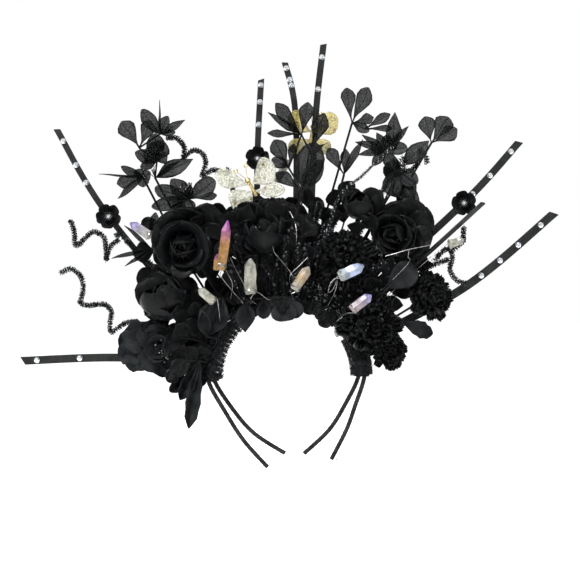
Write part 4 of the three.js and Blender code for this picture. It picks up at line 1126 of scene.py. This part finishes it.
def quartz(name, foot, body, tip):
    """Cloudy glass whose tint runs from foot to tip along the piece's own length attribute."""
    glass = finish(name, body, 0.36)
    shader = glass.node_tree.nodes["Principled BSDF"]
    shader.inputs["Transmission Weight"].default_value = 0.35
    shader.inputs["Coat Weight"].default_value = 0.04
    length = node(glass, "ShaderNodeAttribute", attribute_name="length")
    tints = node(glass, "ShaderNodeValToRGB")
    tints.color_ramp.elements[0].color = (*foot, 1)
    tints.color_ramp.elements[1].color = (*tip, 1)
    middle = tints.color_ramp.elements.new(0.5)
    middle.color = (*body, 1)
    where = node(glass, "ShaderNodeTexCoord")
    veil = node(glass, "ShaderNodeTexNoise", Scale=300.0, Detail=5.0)
    bump = node(glass, "ShaderNodeBump", Strength=1.0, Distance=0.0003)
    cloud = node(glass, "ShaderNodeTexNoise", Scale=170.0, Detail=6.0, Roughness=0.7)
    shades = node(glass, "ShaderNodeMapRange", **{"From Min": 0.36, "From Max": 0.64, "To Min": 0.5,
                                                  "To Max": 1.3})
    clouded = node(glass, "ShaderNodeVectorMath", operation="MULTIPLY")
    link(glass, where, "Object", cloud, "Vector")
    link(glass, cloud, "Fac", shades, "Value")
    link(glass, length, "Fac", tints, "Fac")
    link(glass, tints, "Color", clouded, 0)
    link(glass, shades, "Result", clouded, 1)
    link(glass, clouded, "Vector", shader, "Base Color")
    link(glass, where, "Object", veil, "Vector")
    link(glass, veil, "Fac", bump, "Height")
    link(glass, bump, "Normal", shader, "Normal")
    return glass


QUARTZ = {
    "ivory": quartz("ivory_quartz", (0.3, 0.29, 0.23), (0.4, 0.4, 0.34), (0.46, 0.46, 0.42)),
    "lavender": quartz("lavender_quartz", (0.38, 0.37, 0.32), (0.4, 0.38, 0.42), (0.28, 0.23, 0.5)),
    "blue": quartz("blue_quartz", (0.42, 0.45, 0.42), (0.36, 0.42, 0.56), (0.4, 0.46, 0.62)),
    "pink": quartz("pink_quartz", (0.42, 0.33, 0.34), (0.38, 0.32, 0.38), (0.26, 0.26, 0.46)),
    "amber": quartz("amber_quartz", (0.4, 0.24, 0.09), (0.36, 0.19, 0.06), (0.3, 0.07, 0.36)),
    "honey": quartz("honey_quartz", (0.4, 0.38, 0.34), (0.4, 0.3, 0.18), (0.42, 0.38, 0.33)),
}
CRYSTALS = [
    ("crystal_lavender", "quartz", "lavender", (-44.3, 0.441), (-45.7, 0.534), -0.22, 0.95, (-49, -0.12)),
    ("crystal_amber", "amber", "amber", (-31.8, 0.178), (-20.6, 0.332), -0.86, 1.05, (-30, -0.7)),
    ("crystal_tall", "quartz", "ivory", (-23.7, 0.05), (-17, 0.174), -0.56, 1.25, (-22, -0.7)),
    ("crystal_left", "quartz", "ivory", (-44, 0.099), (-45.2, 0.176), -0.8, 0.95, (-59, -0.7)),
    ("crystal_mid", "amber", "honey", (5, 0.039), (11.8, 0.132), -0.56, 1.05, (6, -0.7)),
    ("crystal_blue", "quartz", "blue", (27.7, 0.134), (35.1, 0.218), -0.74, 1.2, (28, -0.7)),
    ("crystal_pink", "quartz", "pink", (44.3, 0.06), (46.2, 0.152), -0.92, 1.05, (42, -0.7)),
    ("crystal_far", "quartz", "ivory", (51, 0.493), (52.6, 0.552), -0.3, 0.9, (55, -0.12)),
    ("crystal_low", "quartz", "ivory", (45.3, 0.006), (52.5, -0.047), -0.34, 0.8, (44, -0.4)),
    ("crystal_back", "quartz", "ivory", (-3, 0.443), (0.5, 0.527), 0.06, 0.8, (-6, 0.15)),
]


def quartz_point(glass, low, high, thickness):
    """A six-sided point: a prism with a rough narrow foot, uneven sides and an off-centre tip."""
    bpy.ops.object.select_all(action="DESELECT")
    bpy.ops.mesh.primitive_cylinder_add(vertices=6, radius=0.5, depth=1, location=(0, 0, 0.5))
    point = settle()
    bpy.ops.object.mode_set(mode="EDIT")
    for share in (0.1, 0.35, 0.6, 0.8):
        bpy.ops.mesh.select_all(action="SELECT")
        bpy.ops.mesh.bisect(plane_co=(0, 0, share), plane_no=(0, 0, 1))
    bpy.ops.object.mode_set(mode="OBJECT")
    length = point.data.attributes.new("length", "FLOAT", "POINT")
    along = (high - low).normalized()
    side = along.cross(FRONT).normalized()
    for vertex in point.data.vertices:
        share = vertex.co.z
        length.data[vertex.index].value = share
        spread = 0.2 if share > 0.99 else 0.8 if share < 0.01 else 1.08 - 0.06 * share
        uneven = 1 + chance.uniform(-0.12, 0.12)
        around = (side * vertex.co.x + FRONT * vertex.co.y) * thickness * spread * uneven
        vertex.co = low.lerp(high, share + chance.uniform(-0.03, 0.03) * (0.01 < share < 0.99)) + around
    bpy.ops.object.mode_set(mode="EDIT")
    bpy.ops.mesh.select_all(action="SELECT")
    bpy.ops.mesh.normals_make_consistent(inside=False)
    bpy.ops.object.mode_set(mode="OBJECT")
    edge = point.modifiers.new("edge", "BEVEL")
    edge.width = 0.0003
    edge.segments = 1
    bpy.ops.object.modifier_apply(modifier="edge")
    point.data.materials.append(QUARTZ[glass])
    return keep_pattern(point)


for name, slot_name, glass, foot, tip, deep, size, seated in CRYSTALS:
    low = spot(*foot, deep)
    high = spot(*tip, deep)
    thickness = size * CRYSTAL_THICKNESS
    along = (high - low).normalized()
    parts = [quartz_point(glass, low, high, thickness)]
    if name == "crystal_amber":
        beside = low + Vector((-0.0045, 0, 0))
        parts.append(quartz_point(glass, beside, beside + along * 0.015, thickness * 0.6))
    side = along.cross(FRONT).normalized()
    twist = []
    for step in range(TWIST_STEPS):
        angle = 2 * pi * step / 9
        twist.append(low.lerp(high, 0.08 + 0.004 * step)
                     + (side * cos(angle) + FRONT * sin(angle)) * thickness * 0.53)
    held = wire("held", twist[::-1] + flow([twist[0], low - along * 0.004, seat(*seated)], 0.004)[1:],
                HELD_WIRE)
    held.data.materials.append(silver)
    parts.append(keep_pattern(held))
    piece = gather("quartz_" + name, parts)
    dress(piece, slot_name, name)


# Tinsel coils: fine wire wound as a spring with short stiff tinsel bristles caught in it, bent by hand
# into waves.
TINSEL_THICKNESS = 0.0046
TINSEL_STEP = 0.0009
COIL_SWAY = 3
COIL_PITCH = 0.0024
COIL_RADIUS = 0.0021
SPRING_WIRE = 0.0009
COILS = [
    {"name": "coil_left_high", "seat": -58, "deep": 0.08, "lines": [[
        (-145, 61), (-152, 60), (-158, 56), (-161, 49), (-162, 43), (-163, 55), (-164, 62), (-169, 67),
        (-175, 68), (-182, 62), (-187, 57), (-191, 57), (-191, 65), (-192, 72), (-195, 79)]]},
    {"name": "coil_left_low", "seat": -74, "deep": 0.08, "lines": [[
        (-131, -16), (-138, -13), (-145, -14), (-151, -18), (-158, -22), (-159, -14), (-158, -6),
        (-159, -1),
        (-164, 3), (-170, 3), (-178, 2), (-186, 4), (-185, 8), (-183, 17), (-184, 25), (-188, 31),
        (-195, 35),
        (-204, 31)]]},
    {"name": "coil_top", "seat": -26, "deep": 0.08, "lines": [[
        (-50, 115), (-54, 120), (-60, 123), (-66, 124), (-71, 122), (-76, 119), (-74, 126), (-73, 132),
        (-75, 138), (-79, 141), (-84, 142), (-89, 139), (-93, 135), (-92, 141), (-92, 145), (-95, 149),
        (-99, 153), (-104, 153), (-108, 153)]]},
    {"name": "coil_right", "seat": 58, "deep": -0.02, "lines": [[
        (130, 40), (136, 46), (141, 51), (146, 53), (149, 47), (148, 40), (147, 35), (150, 28), (156, 23),
        (162, 22)], [
        (145, 43), (141, 42), (134, 39), (125, 35)], [
        (147, 50), (154, 55), (159, 60), (159, 64), (159, 68), (160, 72)]]},
    {"name": "coil_crown", "seat": 26, "deep": 0.2, "lines": [[
        (100, 128), (106, 124), (112, 124), (117, 128), (120, 136), (121, 142), (126, 137), (127, 130)]]},
]
tinsel = finish("dark_tinsel", (0.02, 0.022, 0.024), 0.32, metallic=0.7)
mottle(tinsel, 0.0012, (0.003, 0.0035, 0.004), (0.06, 0.065, 0.07))
bpy.ops.object.select_all(action="DESELECT")
bpy.ops.mesh.primitive_cone_add(vertices=3, radius1=0.085, radius2=0.035, depth=1, location=(0, 0, 0.5))
BRISTLE = keep_pattern(settle())


def bristles(line, thickness, count=7):
    """Bristles standing out all round a line, each tuft turned from the last."""
    corners = []
    faces = []
    shape = [vertex.co.copy() for vertex in BRISTLE.vertices]
    sides = [tuple(face.vertices) for face in BRISTLE.polygons]
    for i in range(len(line) - 1):
        along = (line[i + 1] - line[i]).normalized()
        side = along.cross(Vector((0.31, 0.87, 0.38))).normalized()
        up = along.cross(side)
        for blade in range(count):
            angle = 2 * pi * (blade / count + i * 0.137) + chance.uniform(-0.3, 0.3)
            out = (side * cos(angle) + up * sin(angle) + along * chance.uniform(-0.5, 0.5)).normalized()
            turn = out.to_track_quat("Z", "Y").to_matrix()
            length = thickness / 2 * chance.uniform(0.75, 1.15)
            first = len(corners)
            corners += [line[i] + turn @ Vector((co.x * thickness, co.y * thickness,
                                                 co.z * length)) for co in shape]
            faces += [tuple(first + k for k in face) for face in sides]
    mesh = bpy.data.meshes.new("bristles")
    mesh.from_pydata(corners, [], faces)
    mesh.materials.append(tinsel)
    return mesh


def wound(line, radius, pitch):
    """A spring's line round a centre line."""
    far = 0
    turns = []
    for i in range(len(line) - 1):
        along = (line[i + 1] - line[i]).normalized()
        side = along.cross(FRONT).normalized()
        up = along.cross(side)
        for part in range(4):
            place = line[i].lerp(line[i + 1], part / 4)
            angle = 2 * pi * (far + (line[i + 1] - line[i]).length * part / 4) / pitch
            turns.append(place + (side * cos(angle) + up * sin(angle)) * radius)
        far += (line[i + 1] - line[i]).length
    return turns


for coil in COILS:
    foot = seat(coil["seat"], 0)
    foot.y = coil["deep"] * HALF_DEPTH
    parts = []
    for number, places in enumerate(coil["lines"]):
        points = [] if number else [foot]
        for i, (right, high) in enumerate(places):
            points.append(Vector((right, coil["deep"] * HALF_DEPTH * 1000 + COIL_SWAY * sin(i * 1.3),
                                  high)) * 0.001)
        line = flow(points, TINSEL_STEP)
        spring = wire("spring", wound(line, COIL_RADIUS, COIL_PITCH), SPRING_WIRE, roundness=0)
        spring.data.materials.append(tinsel)
        parts += [keep_pattern(spring), bristles(line, TINSEL_THICKNESS * 1.3, count=4)]
    dress(gather("tinsel_" + coil["name"], parts), "tinsel", coil["name"])


# Tinsel stems: a fan of short dark glittery tufts in the middle of the garland, and one long beaded
# stem that crosses the right side.
TUFT_SEAT = 10
TUFT_TIPS = [(-5, 0.19), (2.5, 0.3), (7, 0.26), (11, 0.38), (15, 0.3), (18, 0.36)]
fork = spot(TUFT_SEAT, 0.06, -0.2)
parts = []
for at, out in TUFT_TIPS:
    line = flow([fork, spot(at, out, -0.22)], TINSEL_STEP)
    parts.append(bristles(line, TINSEL_THICKNESS * 1.5, count=8))
parts.append(stem([seat(TUFT_SEAT, -0.45), fork], TINSEL_THICKNESS * 0.6))
tufts = gather("tinsel_tufts", parts)
dress(tufts, "tinsel", "tufted_stems")

seed_glass = finish("grey_seed_glass", (0.3, 0.31, 0.32), 0.2, metallic=0.4)
mottle(seed_glass, 0.002, (0.08, 0.085, 0.09), (0.5, 0.5, 0.5))
bpy.ops.object.select_all(action="DESELECT")
bpy.ops.mesh.primitive_ico_sphere_add(subdivisions=1, radius=0.5)
SEED_BEAD = keep_pattern(bpy.context.object)
SEED_BEAD.materials.append(seed_glass)
STEM_LINE = [(16, 0.378, -0.36), (21, 0.52, -0.36), (24.9, 0.66, -0.36)]
line = flow([seat(21, -0.75)] + [spot(*row) for row in STEM_LINE], TINSEL_STEP)
beads = []
for i in range(4, len(line) - 2, 3):
    place = line[i] + Vector((0.001 * (-1) ** i, -0.0022, 0))
    beads.append(set_on(SEED_BEAD, place, FRONT, 0.0014))
beaded = gather("tinsel_stem_long",
                [stem(line[::4], 0.0012), bristles(line, TINSEL_THICKNESS * 0.8, count=6), *beads])
dress(beaded, "tinsel", "tinsel_stem")


# Fuzzy tinsel wound round the bundle where the stems are bound in, over the tape on the left and at
# the right foot.
FUZZ_LIFT = 0.0022
FUZZ_POINTS = 26
FUZZ = [(-94, -34, 0.0052, 1.3), (58, 90, 0.0017, 0.8)]
fuzz = []
for start, end, pitch, fullness in FUZZ:
    turns = radians(end - start) * BAND_RADIUS / pitch
    count = round(turns * FUZZ_POINTS)
    line = []
    for i in range(count + 1):
        at = start + (end - start) * i / count
        angle = 2 * pi * turns * i / count
        place = seat(at, 0) + outward(at) * (CORE_THICKNESS / 2 + FUZZ_LIFT) * sin(angle)
        line.append(place + Vector((0, (CORE_DEPTH / 2 + FUZZ_LIFT) * cos(angle), 0)))
    fuzz.append(bristles(line, TINSEL_THICKNESS * fullness, count=5))
fuzzy = gather("fuzzy_binding", fuzz)
dress(fuzzy, "tinsel")


# The tangle at the heart of the garland: glittery beads on fine wires, and curls of bare silver wire
# left over from binding the quartz.
bead_glitter = finish("black_glitter", (0.012, 0.012, 0.014), 0.3, metallic=0.6)
mottle(bead_glitter, 0.0009, (0.002, 0.002, 0.0025), (0.07, 0.075, 0.08))
bpy.ops.object.select_all(action="DESELECT")
bpy.ops.mesh.primitive_ico_sphere_add(subdivisions=2, radius=0.5)
BEAD = keep_pattern(bpy.context.object)
BEAD.materials.append(bead_glitter)
TANGLE_BEADS = 150
EDGE_BEADS = 46
tangle = []
for i in range(TANGLE_BEADS):
    at = chance.uniform(-30, 62)
    out = chance.uniform(0.02, 0.3 if at < 50 else 0.16)
    deep = chance.uniform(-0.62, -0.25)
    top = spot(at, out, deep)
    foot = seat(at + chance.uniform(-5, 5), -0.7)
    size = chance.uniform(0.0022, 0.0042)
    tangle.append(set_on(BEAD, top, FRONT, size))
    if i % 2 == 0:
        tangle.append(stem([foot, foot.lerp(top, 0.5) + Vector((chance.uniform(-5, 5), -2, 3)) * 0.001,
                            top], 0.0007))
    if i % 3 == 0:
        twig = flow([foot, top + Vector((chance.uniform(-8, 8), -1, chance.uniform(0, 9))) * 0.001],
                    TINSEL_STEP * 1.6)
        tangle.append(bristles(twig, TINSEL_THICKNESS * 0.9, count=5))
for i in range(EDGE_BEADS):
    at = chance.uniform(12, 52)
    place = spot(at, chance.uniform(-0.03, 0.03), chance.uniform(-0.34, -0.24))
    tangle.append(set_on(BEAD, place, FRONT, chance.uniform(0.0018, 0.0036)))
    twig = flow([place, place + Vector([chance.uniform(-6, 6) * 0.001 for axis in range(3)])], TINSEL_STEP)
    tangle.append(bristles(twig, TINSEL_THICKNESS * 0.8, count=5))
heart = gather("glitter_tangle", tangle)
dress(heart, "tinsel")

CURL_WIRE = 0.0006
SILVER_CURLS = [
    [(-57, 41, -34), (-53, 32, -36), (-48, 21, -34), (-50, 8, -20)],
    [(-50, 45, -34), (-45, 34, -36), (-38, 21, -36), (-36, 12, -34), (-26, 14, -34), (-15, 7, -30),
     (-9, 14, -20)],
    [(3, 86, -26), (8, 75, -30), (9, 63, -32), (8, 52, -20)],
    [(19, 45, -40), (11, 37, -42), (3, 28, -40), (5, 14, -14)],
    [(-12, 61, -36), (-11, 50, -38), (-2, 39, -40), (5, 29, -38), (12, 11, -14)],
    [(46, 28, -50), (39, 22, -52), (37, 14, -52), (41, 16, -50), (45, 25, -50), (43, 14, -46),
     (37, 2, -20)],
    [(88, 46, -38), (99, 49, -40), (109, 52, -40), (129, 56, -34)],
    [(109, 52, -40), (108, 45, -38), (108, 39, -30), (77, 7, -10)],
]
curls = []
for places in SILVER_CURLS:
    curl = wire("curl", flow([Vector((right, deep, high)) * 0.001 for right, high, deep in places], 0.003),
                CURL_WIRE)
    curl.data.materials.append(silver)
    curls.append(keep_pattern(curl))
spare = gather("silver_curls", curls)
dress(spare, "quartz")
